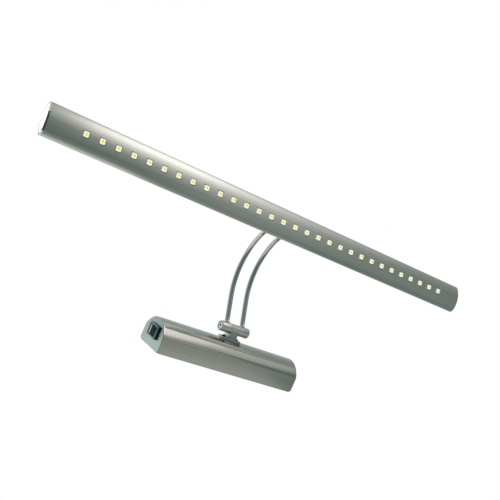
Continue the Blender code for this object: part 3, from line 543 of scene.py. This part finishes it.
def base_outline(inset):
    """The base's profile in (y, z): straight sides, a rounded shoulder and a round front.
    The first half runs from the upper wall edge to the crown, the second mirrors it."""
    arch_steps, blend_steps = 36, 6
    radius = ARCH_RADIUS - inset
    half_back = BASE_WIDTH / 2 - inset
    half_shoulder = BASE_SHOULDER_WIDTH / 2 - inset
    edge = math.asin(half_shoulder / radius)
    crease = Vector((ARCH_CENTRE_Y - radius * math.cos(edge), half_shoulder))
    side = Vector((0.0, half_back))
    run = (crease - side).normalized()
    start = crease - run * SHELL_SHOULDER
    swing = SHELL_SHOULDER / radius
    end = Vector((ARCH_CENTRE_Y - radius * math.cos(edge - swing),
                  radius * math.sin(edge - swing)))
    half = [side, side.lerp(start, 0.94), start]  # the middle point keeps the side's shading flat
    for step in range(1, blend_steps):            # quadratic blend over the crease
        t = step / blend_steps
        half.append(start * (1 - t) ** 2 + crease * 2 * t * (1 - t) + end * t ** 2)
    for step in range(arch_steps):
        turn = (edge - swing) * (1 - step / arch_steps)
        half.append(Vector((ARCH_CENTRE_Y - radius * math.cos(turn), radius * math.sin(turn))))
    crown = [Vector((ARCH_CENTRE_Y - radius, 0.0))]
    mirrored = [Vector((point.x, -point.y)) for point in reversed(half)]
    return half + crown + mirrored


def ring_at(x, inset):
    """One ring of the base's profile at a place along X."""
    return [Vector((x, *point)) for point in base_outline(inset)]


def shell_section(x, inset):
    """One section of the bent sheet at a place along X, open towards the wall."""
    return ring_at(x, inset) + ring_at(x, HOUSING_WALL)[::-1]


def make_housing():
    """Arched cover, open towards the wall, with its screw holes."""
    end = SHELL_END - SHELL_SHORT
    shell = loft([shell_section(-end, SHELL_EDGE), shell_section(-end + SHELL_EDGE, 0.0),
                  shell_section(end - SHELL_EDGE, 0.0), shell_section(end, SHELL_EDGE)])
    cuts = [hole(HOUSING_WIRE_HOLE, "Y", (0.0, -BASE_DEPTH, 0.0))]
    for side in (-1, 1):
        cuts.append(hole(SCREW_HOLE, "Y", (side * BRACKET_SCREW_X, -BASE_DEPTH, 0.0)))
        cuts.append(hole(SCREW_HOLE, "Z", (side * COVER_SCREW_X, COVER_SCREW_Y, BASE_WIDTH / 2)))
    add("base_housing_cover", shaped(shell, *cuts), HOUSING_METAL, "base", ("base_housing",))


def plate_ring(x, inset):
    """The end plate's outline: the base's profile, short of the wall and with round corners."""
    back = -END_SETBACK - inset
    half = BASE_WIDTH / 2 - inset
    turns = [math.radians(angle) for angle in range(90, -1, -18)]
    start = [(back - PLATE_CORNER * (1 - math.sin(turn)),
              half - PLATE_CORNER * (1 - math.cos(turn))) for turn in turns]
    end = [(across, -up) for across, up in reversed(start)]
    return [Vector((x, *point)) for point in start + base_outline(inset)[1:-1] + end]


def make_end_plate(name, side):
    """End plate with a polished rounded rim and the lip that plugs into the housing."""
    face = side * BASE_LENGTH / 2
    inner = face - side * (END_PLATE + PLATE_JOINT)
    rim = PLATE_RIM[side]
    rings = [plate_ring(inner, 0.0)]
    for turn in (math.radians(angle) for angle in range(0, 91, 18)):
        rings.append(plate_ring(face - side * rim * (1 - math.sin(turn)),
                                rim * (1 - math.cos(turn))))
    plate = loft(rings)
    start, end = inner + side * MM, inner - side * END_LIP_DEPTH
    outside, inside = HOUSING_WALL + GAP, 2 * HOUSING_WALL + GAP
    lip = loft([ring_at(start, outside), ring_at(end, outside), ring_at(end, inside),
                ring_at(start, inside)], closed=True)
    relief = box_mesh((2 * END_LIP_DEPTH, 2 * (WALL_FLANGE + GAP), BASE_WIDTH),
                      (side * (SHELL_END - GAP - END_LIP_DEPTH), 0.0, 0.0))
    steps = [("JOIN", shaped(lip, ("CUT", relief)))]
    if side < 0:
        slot = box_mesh((4 * END_PLATE, SWITCH_BODY_WIDTH + 2 * GAP,
                         SWITCH_BODY_LENGTH + 2 * GAP), (face, SWITCH_Y, SWITCH_Z))
        steps.append(("CUT", slot))
    mesh = painted(shaped(plate, *steps), (PLATE_METAL, RIM_METAL),
                   lambda polygon: PLATE_METAL if abs(polygon.normal.x) >= 0.9 else RIM_METAL)
    add(f"{name}_detail", mesh, None, "base", (name,))


def make_cover_screw(name, side):
    """Button-head screw on the upper side of the base."""
    place = Matrix.Translation((side * COVER_SCREW_X, COVER_SCREW_Y, BASE_WIDTH / 2 + GAP / 2))
    add(f"{name}_detail", button_screw(2.6 * MM, 1.6 * MM, 1.2 * MM, 4.4 * MM), STEEL, "base",
        (name,), place)


def button_screw(head, height, shank, length):
    """Domed head with a hexagon socket and a threaded shank, head towards +Z."""
    pitch, thread, point = 0.5 * MM, 0.15 * MM, 0.3 * MM
    flat, brim = 0.02, 0.15                       # shares of the head's radius and height
    profile = [(0.0, height)]
    profile += [(head * (math.sin(turn) * (1 - flat) + flat),
                 height * (brim + (1 - brim) * math.cos(turn)))
                for turn in (math.radians(angle) for angle in range(15, 91, 15))]
    profile += [(head, 0.0), (shank, 0.0)]
    for turn in range(int((length - 2 * pitch) / pitch)):
        base = -pitch / 2 - turn * pitch
        profile += [(shank, base), (shank - thread, base - pitch / 2)]
    profile += [(shank - point, -length), (0.0, -length)]
    socket = rod_mesh(head * 0.5, height * 1.1, "Z", (0.0, 0.0, height), 6)
    return shaped(lathe(profile, "Z", 40, closed=False), ("CUT", socket), sharp=30.0)


# ---------------------------------------------------------------- switch

def make_switch_body():
    """Snap-in body: bevelled bezel, well for the rocker, case and two tabs."""
    face = -BASE_LENGTH / 2 - GAP
    bezel = box_mesh((BEZEL_HEIGHT, BEZEL_WIDTH, BEZEL_LENGTH),
                     (face - BEZEL_HEIGHT / 2, SWITCH_Y, SWITCH_Z))
    bezel = shaped(bezel, ("BEVEL", 0.75 * MM, 4, 40.0))
    overlap = 0.6 * MM
    case = box_mesh((SWITCH_BODY_DEPTH, SWITCH_BODY_WIDTH, SWITCH_BODY_LENGTH),
                    (face + SWITCH_BODY_DEPTH / 2 - overlap, SWITCH_Y, SWITCH_Z))
    steps = [("JOIN", case)]
    for along in (-5.0 * MM, 5.0 * MM):
        tab = box_mesh((7.0 * MM, 0.8 * MM, 4.8 * MM),
                       (face + SWITCH_BODY_DEPTH + 2.2 * MM, SWITCH_Y, SWITCH_Z + along))
        steps.append(("JOIN", tab))
    well = box_mesh((2 * WELL_DEPTH, ROCKER_WIDTH + 2 * GAP, 2 * (ROCKER_RADIUS + GAP)),
                    (face - BEZEL_HEIGHT, SWITCH_Y, SWITCH_Z))
    steps.append(("CUT", well))
    # The bezel's front is painted with a bluish reflection; the rest stays near-black.
    front = face - BEZEL_HEIGHT + 0.5 * MM
    mesh = painted(shaped(bezel, *steps, sharp=30.0), (SOFT_BLACK, BEZEL_PAINTED_REFLECTION),
                   lambda polygon: BEZEL_PAINTED_REFLECTION if polygon.center.x < front
                   and polygon.normal.x < -0.6 else SOFT_BLACK)
    add("switch_body_detail", mesh, None, "base", ("switch_body",))


def make_rocker():
    """Gloss paddle of two dished facets over a round flank, with a step at its raised end whose
    outward face has a painted highlight.
    """
    facet = Vector((-math.sin(ROCKER_DISH), math.cos(ROCKER_DISH)))
    start = Vector((-ROCKER_FACE, 0.0))
    lean = start.dot(facet)
    length = -lean + math.sqrt(lean ** 2 + ROCKER_RADIUS ** 2 - start.length_squared)
    tip = start + facet * length
    tip_angle = math.atan2(tip.y, tip.x)
    floor_angle = math.acos(ROCKER_FLOOR / ROCKER_RADIUS)
    steps = 14
    flank = []
    for index in range(steps + 1):
        angle = floor_angle + (tip_angle - floor_angle) * index / steps
        flank.append((ROCKER_RADIUS * math.sin(angle), ROCKER_RADIUS * math.cos(angle)))
    outline = flank + [(0.0, -ROCKER_FACE)] + [(-across, up) for across, up in reversed(flank)]
    ridge = start + facet * ROCKER_RIDGE
    deep, long = 10.0 * MM, 12.0 * MM
    cutter = box_mesh((deep, 2 * ROCKER_WIDTH, long), (-deep / 2, 0.0, long / 2))
    cutter.transform(Matrix.Translation((ridge.x, 0.0, ridge.y))
                     @ Matrix.Rotation(ROCKER_SHOULDER, 4, "Y"))
    # The shoulder's face that points out and up gets the painted highlight.
    mesh = painted(shaped(outline_mesh(outline, ROCKER_WIDTH, "ZX"), ("CUT", cutter),
                          ("BEVEL", 0.35 * MM, 4, 12.0)), (GLOSS_BLACK, ROCKER_PAINTED_HIGHLIGHT),
                   lambda polygon: ROCKER_PAINTED_HIGHLIGHT if polygon.normal.x < -0.85
                   and polygon.normal.z > 0.15 else GLOSS_BLACK)
    place = (Matrix.Translation((-BASE_LENGTH / 2 + MM, SWITCH_Y, SWITCH_Z))
             @ Matrix.Rotation(-ROCKER_TILT, 4, "Y"))
    add("switch_rocker_paddle", mesh, None, "rocker", ("switch_rocker",), place)


# ---------------------------------------------------------------- hinge

def make_bracket():
    """Knuckle on a flared neck and a foot that follows the base's arch."""
    side = [(NECK_HALF, HINGE.y), (NECK_HALF, FOOT_TOP_Y - NECK_FILLET)]
    side += [(NECK_HALF + NECK_FILLET * (1 - math.cos(turn)),
              FOOT_TOP_Y - NECK_FILLET * (1 - math.sin(turn)))
             for turn in (math.radians(angle) for angle in range(9, 91, 9))]
    side += [(FOOT_HALF, FOOT_TOP_Y + 0.2 * MM), (FOOT_HALF, -BASE_DEPTH + 2.0 * MM)]
    outline = side + [(-across, up) for across, up in reversed(side)]
    web = outline_mesh(outline, 2 * BRACKET_HALF_DEPTH, "XY")
    web = shaped(web, ("BEVEL", 0.35 * MM, 3, 40.0))
    end = KNUCKLE_HALF - 0.12 * MM
    knuckle = lathe([(AXLE_RADIUS - MM, end), (BARREL_RADIUS, end), (BARREL_RADIUS, -end),
                     (AXLE_RADIUS - MM, -end)], "X", 72)
    knuckle.transform(HINGE_FRAME)
    steps = [("JOIN", knuckle),
             ("CUT", rod_mesh(AXLE_RADIUS + GAP, 6 * KNUCKLE_HALF, "X", HINGE)),
             ("CUT", rod_mesh(ARCH_RADIUS + GAP, 5 * FOOT_HALF, "X",
                              (0.0, ARCH_CENTRE_Y, 0.0), 256)),
             hole(BRACKET_WIRE_HOLE, "Y", HINGE + Vector((0.0, 7.8 * MM, 0.0)))]
    for sign in (-1, 1):
        at = sign * BRACKET_SCREW_X
        steps.append(hole(SCREW_HOLE, "Y", (at, FOOT_TOP_Y, 0.0)))
        steps.append(hole(BRACKET_HEAD + GAP, "Y",
                          (at, FOOT_TOP_Y + RECESS_FLOOR - DRILL / 2, 0.0), 40))

    def look(polygon):
        """The round knuckle is polished like the sleeves, the rest is brushed."""
        spot = polygon.center - HINGE
        on_knuckle = (abs(spot.yz.length - BARREL_RADIUS) < 0.1 * MM
                      and abs(spot.x) < KNUCKLE_HALF)
        return SMOOTH_METAL if on_knuckle else BRACKET_METAL

    mesh = painted(shaped(web, *steps, sharp=30.0), (BRACKET_METAL, SMOOTH_METAL), look)
    add("hinge_bracket_detail", mesh, None, "base", ("hinge_bracket",))


def make_bracket_screw(name, side):
    """Black button-head screw in the bracket's foot."""
    place = (Matrix.Translation((side * BRACKET_SCREW_X, FOOT_TOP_Y + RECESS_FLOOR - GAP, 0.0))
             @ Matrix.Rotation(math.pi / 2, 4, "X"))
    add(f"{name}_detail", button_screw(BRACKET_HEAD, 1.5 * MM, 1.5 * MM, 8.0 * MM),
        DARK_STEEL, "base", (name,), place)


def make_hinge_screw(name, side):
    """Socket screw in the barrel's end."""
    inner = BARREL_HALF - HEAD_HEIGHT - GAP
    outer = BARREL_HALF - GAP
    shank, tip = AXLE_BORE - GAP, inner - 6.0 * MM
    socket_radius, socket_depth = 1.6 * MM, 4.0 * MM
    profile = [(0.0, outer)] + rounding(HEAD_RADIUS, outer, 0.45 * MM, 4)
    profile += [(HEAD_RADIUS, inner), (shank, inner), (shank, tip), (0.0, tip)]
    socket = rod_mesh(socket_radius, socket_depth, "X", (outer, 0.0, 0.0), 6)
    # Painted shade: the socket's walls are near-black and a dark disc sits down inside it.
    shade = rod_mesh(1.45 * MM, 0.2 * MM, "X", (outer - 0.9 * MM, 0.0, 0.0), 6)
    mesh = joined(shaped(lathe(profile, "X", 48, closed=False), ("CUT", socket), sharp=30.0),
                  shade)
    painted(mesh, (STEEL, PAINTED_SOCKET_SHADE), lambda polygon: PAINTED_SOCKET_SHADE if polygon.center.yz.length
            < socket_radius + 0.05 * MM else STEEL)
    turn = Matrix.Rotation(math.pi, 4, "Z") if side < 0 else Matrix.Identity(4)
    add(f"{name}_detail", mesh, None, "base", (name,), HINGE_FRAME @ turn)


def make_sleeve(name, side):
    """Barrel sleeve with a rounded end and a hole for its arm."""
    shoulder = BARREL_HALF - HEAD_HEIGHT - 2 * GAP
    mouth = HEAD_RADIUS + GAP
    bore = AXLE_RADIUS + GAP
    inner_edge, edge = 0.1 * MM, 0.06 * MM
    profile = [(mouth, BARREL_HALF - inner_edge), (mouth + inner_edge, BARREL_HALF)]
    profile += rounding(BARREL_RADIUS, BARREL_HALF, 0.7 * MM, 5)
    profile += [(BARREL_RADIUS, KNUCKLE_HALF + edge), (BARREL_RADIUS - edge, KNUCKLE_HALF),
                (bore, KNUCKLE_HALF), (bore, shoulder), (mouth, shoulder)]
    mesh = lathe(profile, "X", 72)
    if side < 0:
        mesh.transform(Matrix.Rotation(math.pi, 4, "Z"))
    direction = heading(ARM_RISE)
    drill = rod_mesh(ARM_RADIUS + 0.15 * MM, DRILL, "Z", sides=40)
    drill.transform(Matrix.Translation(Vector((side * ARM_X, 0.0, 0.0)) + direction * 8.0 * MM)
                    @ direction.to_track_quat("Z", "Y").to_matrix().to_4x4())
    add(f"{name}_detail", shaped(mesh, ("CUT", drill)), SMOOTH_METAL, "arm_and_lamp", (name,),
        HINGE_FRAME)


# ---------------------------------------------------------------- arms

def heading(angle):
    """Unit direction in the YZ plane, angle above straight out from the wall."""
    return Vector((0.0, -math.cos(angle), math.sin(angle)))


def arm_line():
    """Points and headings of the arm's centre line in the hinge's frame, and the place where
    its last straight piece begins."""
    step = math.radians(2.0)
    line = [(heading(ARM_RISE) * distance, ARM_RISE)
            for distance in (ARM_FOOT, ARM_LEG * 0.35, ARM_LEG * 0.7, ARM_LEG)]
    for radius, begin, end in ((ARM_SWEEP_RADIUS, ARM_RISE, ARM_SWEEP_END),
                               (ARM_TURN_RADIUS, ARM_SWEEP_END, ARM_TURN_END)):
        centre = line[-1][0] - radius * Vector((0.0, math.sin(begin), math.cos(begin)))
        count = math.ceil(abs(end - begin) / step)
        for index in range(1, count + 1):
            turn = begin + (end - begin) * index / count
            line.append((centre + radius * Vector((0.0, math.sin(turn), math.cos(turn))), turn))
    turn_end = line[-1][0]
    line.append((turn_end + heading(ARM_TURN_END) * ARM_TAIL, ARM_TURN_END))
    return line, turn_end


def arm_ring(point, turn, radius, sides=32):
    """A ring round the arm's centre line."""
    normal = Vector((0.0, math.sin(turn), math.cos(turn)))
    across = Vector((1.0, 0.0, 0.0))
    return [point + radius * (across * math.cos(2 * math.pi * side / sides)
                              + normal * math.sin(2 * math.pi * side / sides))
            for side in range(sides)]


def make_arm(name, side):
    """Bent tube with a small weld bead where it meets the barrel."""
    line = arm_line()[0]
    outer = [arm_ring(point, turn, ARM_RADIUS) for point, turn in line]
    bead = [arm_ring(heading(ARM_RISE) * distance * MM, ARM_RISE, ARM_RADIUS + extra * MM)
            for distance, extra in ((5.0, 0.0), (5.15, 0.55), (5.5, 0.62), (5.9, 0.42),
                                    (6.4, 0.16), (7.0, 0.0))]
    outer[1:1] = bead
    inner = [arm_ring(point, turn, ARM_BORE) for point, turn in reversed(line)]
    mesh = loft(outer + inner, closed=True, sharp=50.0)
    add(f"{name}_tube", mesh, SMOOTH_METAL, "arm_and_lamp", (name,),
        HINGE_FRAME @ Matrix.Translation((side * ARM_X, 0.0, 0.0)))


def make_collar(name, side):
    """Collar seated on the lamp's back."""
    turn_end = arm_line()[1]
    along = heading(ARM_TURN_END)
    bore = ARM_RADIUS + GAP
    half = COLLAR_HEIGHT / 2
    inner_edge, clearance, reach = 0.1 * MM, 0.1 * MM, 10.0 * MM
    profile = [(bore, half - inner_edge), (bore + inner_edge, half)]
    profile += rounding(COLLAR_RADIUS, half, 0.8 * MM, 5)
    profile += [(COLLAR_RADIUS, -half), (bore, -half)]
    mesh = lathe(profile, "Z", 48)
    place = turn_end + Vector((side * ARM_X, 0.0, 0.0)) + along * 1.2 * MM
    mesh.transform(HINGE_FRAME @ Matrix.Translation(place)
                   @ (-along).to_track_quat("Z", "Y").to_matrix().to_4x4())
    seat = loft([[LAMP_FRAME @ Vector((x, across, up)) for across, up in
                  oval(LAMP_HALF_WIDTH + clearance, LAMP_HALF_DEPTH + clearance)]
                 for x in (side * ARM_X - reach, side * ARM_X + reach)])
    add(f"{name}_detail", shaped(mesh, ("CUT", seat), sharp=30.0), SMOOTH_METAL, "arm_and_lamp",
        (name,))


# ---------------------------------------------------------------- lamp head

def oval_point(half_width, half_depth, turn):
    """A point of the lamp's section in (y, z), flatter on the LED side."""
    if math.sin(turn) <= 0.0:
        half_depth -= LAMP_HALF_DEPTH - LAMP_FRONT_DEPTH
    return (half_width * math.cos(turn), half_depth * math.sin(turn))


def oval(half_width, half_depth):
    """Outline of the lamp's section."""
    sides = 96
    return [oval_point(half_width, half_depth, 2 * math.pi * index / sides)
            for index in range(sides)]


def led_x(index):
    """Place of one LED along the lamp."""
    return (index - (LED_COUNT - 1) / 2) * LED_PITCH


def window_oval(half_width, half_depth):
    """Section points that start with a window's width, in WINDOW_COLUMNS steps."""
    bottom = 3 * math.pi / 2
    reach = math.asin(WINDOW_SIZE / 2 / half_width)
    rest, rest_steps = 2 * math.pi - 2 * reach, 90
    turns = [bottom + reach * (2 * step / WINDOW_COLUMNS - 1) for step in range(WINDOW_COLUMNS)]
    turns += [bottom + reach + rest * step / rest_steps for step in range(rest_steps)]
    return [oval_point(half_width, half_depth, turn) for turn in turns]


def make_lamp_tube():
    """Oval tube with thirty windows, its walls open round each LED."""
    end = LAMP_LENGTH / 2 - LAMP_CAP - GAP
    half = WINDOW_SIZE / 2
    stations = [-end]
    for index in range(LED_COUNT):
        stations += [led_x(index) - half, led_x(index) + half]
    stations.append(end)
    work = bmesh.new()
    grids = []
    for inset in (0.0, LAMP_WALL):
        points = window_oval(LAMP_HALF_WIDTH - inset, LAMP_HALF_DEPTH - inset)
        grids.append([[work.verts.new((x, *point)) for point in points] for x in stations])
    outer, inner = grids
    sides = len(outer[0])

    def bridge(start, end):
        """The wall's edge between two (row, column) places, from outside to inside."""
        work.faces.new((outer[start[0]][start[1]], outer[end[0]][end[1]],
                        inner[end[0]][end[1]], inner[start[0]][start[1]]))

    for row in range(len(stations) - 1):
        window = row % 2 == 1
        for column in range(WINDOW_COLUMNS if window else 0, sides):
            after = (column + 1) % sides
            for grid in grids:
                work.faces.new((grid[row][column], grid[row][after], grid[row + 1][after],
                                grid[row + 1][column]))
        if window:
            for column in range(WINDOW_COLUMNS):
                bridge((row, column), (row, column + 1))
                bridge((row + 1, column), (row + 1, column + 1))
            for column in (0, WINDOW_COLUMNS):
                bridge((row, column), (row + 1, column))
    for row in (0, -1):
        for column in range(sides):
            bridge((row, column), (row, (column + 1) % sides))
    add("lamp_tube_skin", mesh_of(work, sharp=40.0), TUBE_METAL, "arm_and_lamp", ("lamp_tube",),
        LAMP_FRAME)


def cap_ring(x, inset, extra=0.0):
    """A ring of the cap's skin: its whole inset on the LED side, little of it behind, and an
    extra share of it all round."""
    ring = []
    for (wide, deep), (narrow, shallow) in zip(
            oval(LAMP_HALF_WIDTH, LAMP_HALF_DEPTH),
            oval(LAMP_HALF_WIDTH - inset, LAMP_HALF_DEPTH - inset)):
        share = min(1.0, 1.0 - CAP_BACK_SHARPNESS * max(0.0, deep) / LAMP_HALF_DEPTH + extra)
        ring.append(Vector((x, wide + (narrow - wide) * share,
                            deep + (shallow - deep) * share)))
    return ring


def cap_look(polygon):
    """Which material a polygon of the cap shows."""
    depth = LAMP_LENGTH / 2 - abs(polygon.center.x)
    behind = polygon.center.z > 0.0
    in_plug = depth > LAMP_CAP
    in_face = depth < 0.01 * MM and (len(polygon.vertices) > 4 or not behind)
    if in_plug or in_face:
        return CAP_METAL
    # Behind, the rounded edge and a thin outline on the face are painted dark as shade.
    if behind:
        return CAP_EDGE_SHADE
    # On the LED side a band of the rounded edge is painted dark as shade: darker metal behind the
    # lip, near-black on it.
    if not CAP_SHADE_START < polygon.center.y < CAP_SHADE_END:
        return LIP
    return BRACKET_METAL if depth > CAP_LIP_DEPTH else CAP_PAINTED_SHADE


def make_lamp_cap(name, side):
    """Oval cap: bright face, rounded edge, and painted shade: a thin dark outline behind and a
    dark band on its broad side.
    """
    face = side * LAMP_LENGTH / 2
    inner = face - side * LAMP_CAP
    slack = LAMP_WALL + GAP
    plug = oval(LAMP_HALF_WIDTH - slack, LAMP_HALF_DEPTH - slack)
    rings = [[Vector((x, *point)) for point in plug]
             for x in (inner - side * LAMP_PLUG_DEPTH, inner)]
    for along, inset in ((LAMP_CAP, 0.0), (CAP_LIP_DEPTH, 0.0), (0.5 * MM, 0.25 * MM),
                         (0.25 * MM, 0.65 * MM), (0.1 * MM, 1.1 * MM), (0.0, 1.5 * MM)):
        rings.append(cap_ring(face - side * along, inset))
    rings.append(cap_ring(face, 2.2 * MM, CAP_EDGE_SHADE_WIDTH))
    notch_end = LAMP_LENGTH / 2 - LAMP_CAP - LAMP_PLUG_DEPTH + PLUG_OVERLAP
    notch_top = LED_FRONT + LED_SEAT + BOARD_THICKNESS + GAP
    notch = box_mesh((2 * LAMP_PLUG_DEPTH, BOARD_WIDTH + 2 * GAP, LAMP_HALF_WIDTH),
                     (side * (notch_end - LAMP_PLUG_DEPTH), 0.0, notch_top - LAMP_HALF_WIDTH / 2))
    mesh = painted(shaped(loft(rings), ("CUT", notch)),
                   (CAP_METAL, LIP, CAP_PAINTED_SHADE, CAP_EDGE_SHADE, BRACKET_METAL), cap_look)
    add(f"{name}_detail", mesh, None, "arm_and_lamp", (name,), LAMP_FRAME)


def make_leds():
    """Thirty LED packages: white body, round yellow phosphor well."""
    well = 0.2 * MM
    body = shaped(box_mesh((LED_SIZE, LED_SIZE, LED_HEIGHT), (0.0, 0.0, LED_HEIGHT / 2)),
                  ("BEVEL", 0.22 * MM, 2, 40.0),
                  ("CUT", rod_mesh(LENS_RADIUS, 2 * well, "Z", sides=40)))
    lens = lathe([(0.0, 0.06 * MM), (0.9 * MM, 0.08 * MM), (LENS_RADIUS, 0.14 * MM),
                  (LENS_RADIUS, well), (0.0, well)], "Z", 40, closed=False)
    count = len(body.polygons)
    package = painted(joined(body, lens), (LED_BODY, PHOSPHOR),
                      lambda polygon: LED_BODY if polygon.index < count else PHOSPHOR)
    package.shade_smooth()
    package.set_sharp_from_angle(angle=math.radians(35))
    for index in range(LED_COUNT):
        name = f"led_{index + 1:02d}"
        place = LAMP_FRAME @ Matrix.Translation((led_x(index), 0.0, LED_FRONT))
        add(f"{name}_package", package.copy(), None, "arm_and_lamp", (name,), place)


# ---------------------------------------------------------------- assembly

make_housing()
make_switch_body()
make_rocker()
make_bracket()
make_lamp_tube()
make_leds()
for side_name, side_sign in (("left", -1), ("right", 1)):
    make_end_plate(f"end_plate_{side_name}", side_sign)
    make_cover_screw(f"cover_screw_{side_name}", side_sign)
    make_bracket_screw(f"bracket_screw_{side_name}", side_sign)
    make_hinge_screw(f"hinge_screw_{side_name}", side_sign)
    make_sleeve(f"hinge_sleeve_{side_name}", side_sign)
    make_arm(f"arm_{side_name}", side_sign)
    make_collar(f"arm_collar_{side_name}", side_sign)
    make_lamp_cap(f"lamp_cap_{side_name}", side_sign)

# The CAD's own shape is right for these
for node, material in (("wall_plate", ZINC), ("cable_grommet", RUBBER), ("led_driver", WHITE),
                       ("terminal_block", WHITE), ("hinge_axle", STEEL), ("led_board", BOARD),
                       ("live_wire", WIRE), ("lamp_lead", WIRE), ("lamp_wire", WIRE)):
    for material_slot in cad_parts[node].material_slots:
        material_slot.material = material


# ---------------------------------------------------------------- studio

FLOOR_SIZE = 6.0
FLOOR_Z = -1.6


def make_floor():
    """Plain pale floor, well below the light."""
    work = bmesh.new()
    bmesh.ops.create_grid(work, x_segments=1, y_segments=1, size=FLOOR_SIZE)
    floor = bpy.data.objects.new("floor", mesh_of(work))
    floor.location = (0.0, 0.0, FLOOR_Z)
    floor.data.materials.append(plain_material("floor_pale", (0.86, 0.86, 0.86), 0.6,
                                               scale=20.0, contrast=0.01))
    floor.visible_glossy = False
    bpy.context.scene.collection.objects.link(floor)


def make_light(name, place, target, size, colour, radiance):
    """Soft rectangular light that the camera doesn't see, of an even radiance."""
    data = bpy.data.lights.new(name, "AREA")
    data.shape = "RECTANGLE"
    data.size, data.size_y = size
    data.color = colour
    data.energy = radiance * math.pi * size[0] * size[1]
    light = bpy.data.objects.new(name, data)
    light.location = place
    light.rotation_euler = (Vector(target) - Vector(place)).to_track_quat("-Z", "Z").to_euler()
    light.visible_camera = False
    bpy.context.scene.collection.objects.link(light)


def make_world():
    """White behind the light; for all else a soft studio, bright above and dim below."""
    world = bpy.data.worlds.new("studio")
    bpy.context.scene.world = world
    world.use_nodes = True
    nodes, links = world.node_tree.nodes, world.node_tree.links
    place = nodes.new("ShaderNodeTexCoord")
    split = nodes.new("ShaderNodeSeparateXYZ")
    height = nodes.new("ShaderNodeMapRange")
    height.inputs["From Min"].default_value = -1.0
    height.inputs["From Max"].default_value = 1.0
    links.new(place.outputs["Generated"], split.inputs["Vector"])
    links.new(split.outputs["Z"], height.inputs["Value"])
    room = ramp(nodes, links, height.outputs["Result"], (
        (0.0, (0.11, 0.165, 0.15)), (0.25, (0.175, 0.245, 0.22)), (0.5, (0.30, 0.36, 0.34)),
        (0.75, (0.43, 0.50, 0.48)), (0.93, (0.58, 0.68, 0.66)), (1.0, (1.0, 1.0, 1.0))))
    path = nodes.new("ShaderNodeLightPath")
    mix = nodes.new("ShaderNodeMix")
    mix.data_type = "RGBA"
    links.new(path.outputs["Is Camera Ray"], mix.inputs["Factor"])
    links.new(room, mix.inputs[MIX_A])
    mix.inputs[MIX_B].default_value = (1.0, 1.0, 1.0, 1.0)
    links.new(mix.outputs[MIX_RESULT], nodes["Background"].inputs["Color"])


WARM, WARMER, WHITISH = (1.0, 0.945, 0.925), (1.0, 0.95, 0.90), (1.0, 1.0, 0.98)

make_floor()
make_world()
# name, place, target, size, colour and radiance
for light in (
        ("key", (0.51, -1.67, -0.42), (0.51, 0.0, -0.42), (0.5, 1.35), WARM, 2.4),
        ("key_right", (0.91, -1.67, -0.62), (0.91, 0.0, -0.62), (0.3, 1.4), WARM, 1.2),
        ("key_upper", (0.75, -1.67, 0.72), (0.75, 0.0, 0.72), (0.9, 0.8), (1.0, 0.98, 0.97), 0.4),
        ("key_side", (1.28, -1.67, -0.50), (1.28, 0.0, -0.50), (0.44, 1.5), WARMER, 0.42),
        ("key_far", (1.9, -1.67, -0.50), (1.9, 0.0, -0.50), (0.8, 1.5), WARMER, 0.1),
        ("low", (1.15, -0.25, -1.25), (1.15, -0.25, 0.0), (1.3, 1.5), (0.98, 1.0, 0.96), 0.14),
        ("low_front", (0.75, -1.3, -1.3), (0.0, -0.1, 0.0), (1.2, 0.7), (1.0, 0.98, 0.95), 0.3),
        ("low_wall", (0.64, 0.2, -1.15), (0.64, 0.2, 0.0), (0.56, 0.32), (1.0, 0.96, 0.90), 0.17),
        ("top", (-0.62, -0.24, 1.2), (-0.62, -0.24, 0.0), (0.3, 0.42), (1.0, 1.0, 1.0), 1.8),
        ("wall_left", (-0.30, 0.02, -0.02), (-0.30, -1.0, -0.02), (0.4, 0.3), WHITISH, 0.6),
        ("wall_middle", (0.03, 0.02, -0.04), (0.03, -1.0, -0.04), (0.26, 0.24), WHITISH, 0.2),
        ("wall_upper", (0.0, 0.02, 0.28), (0.0, -1.0, 0.28), (1.1, 0.3), WHITISH, 0.2)):
    make_light(*light)
bpy.context.scene.view_settings.view_transform = "Standard"
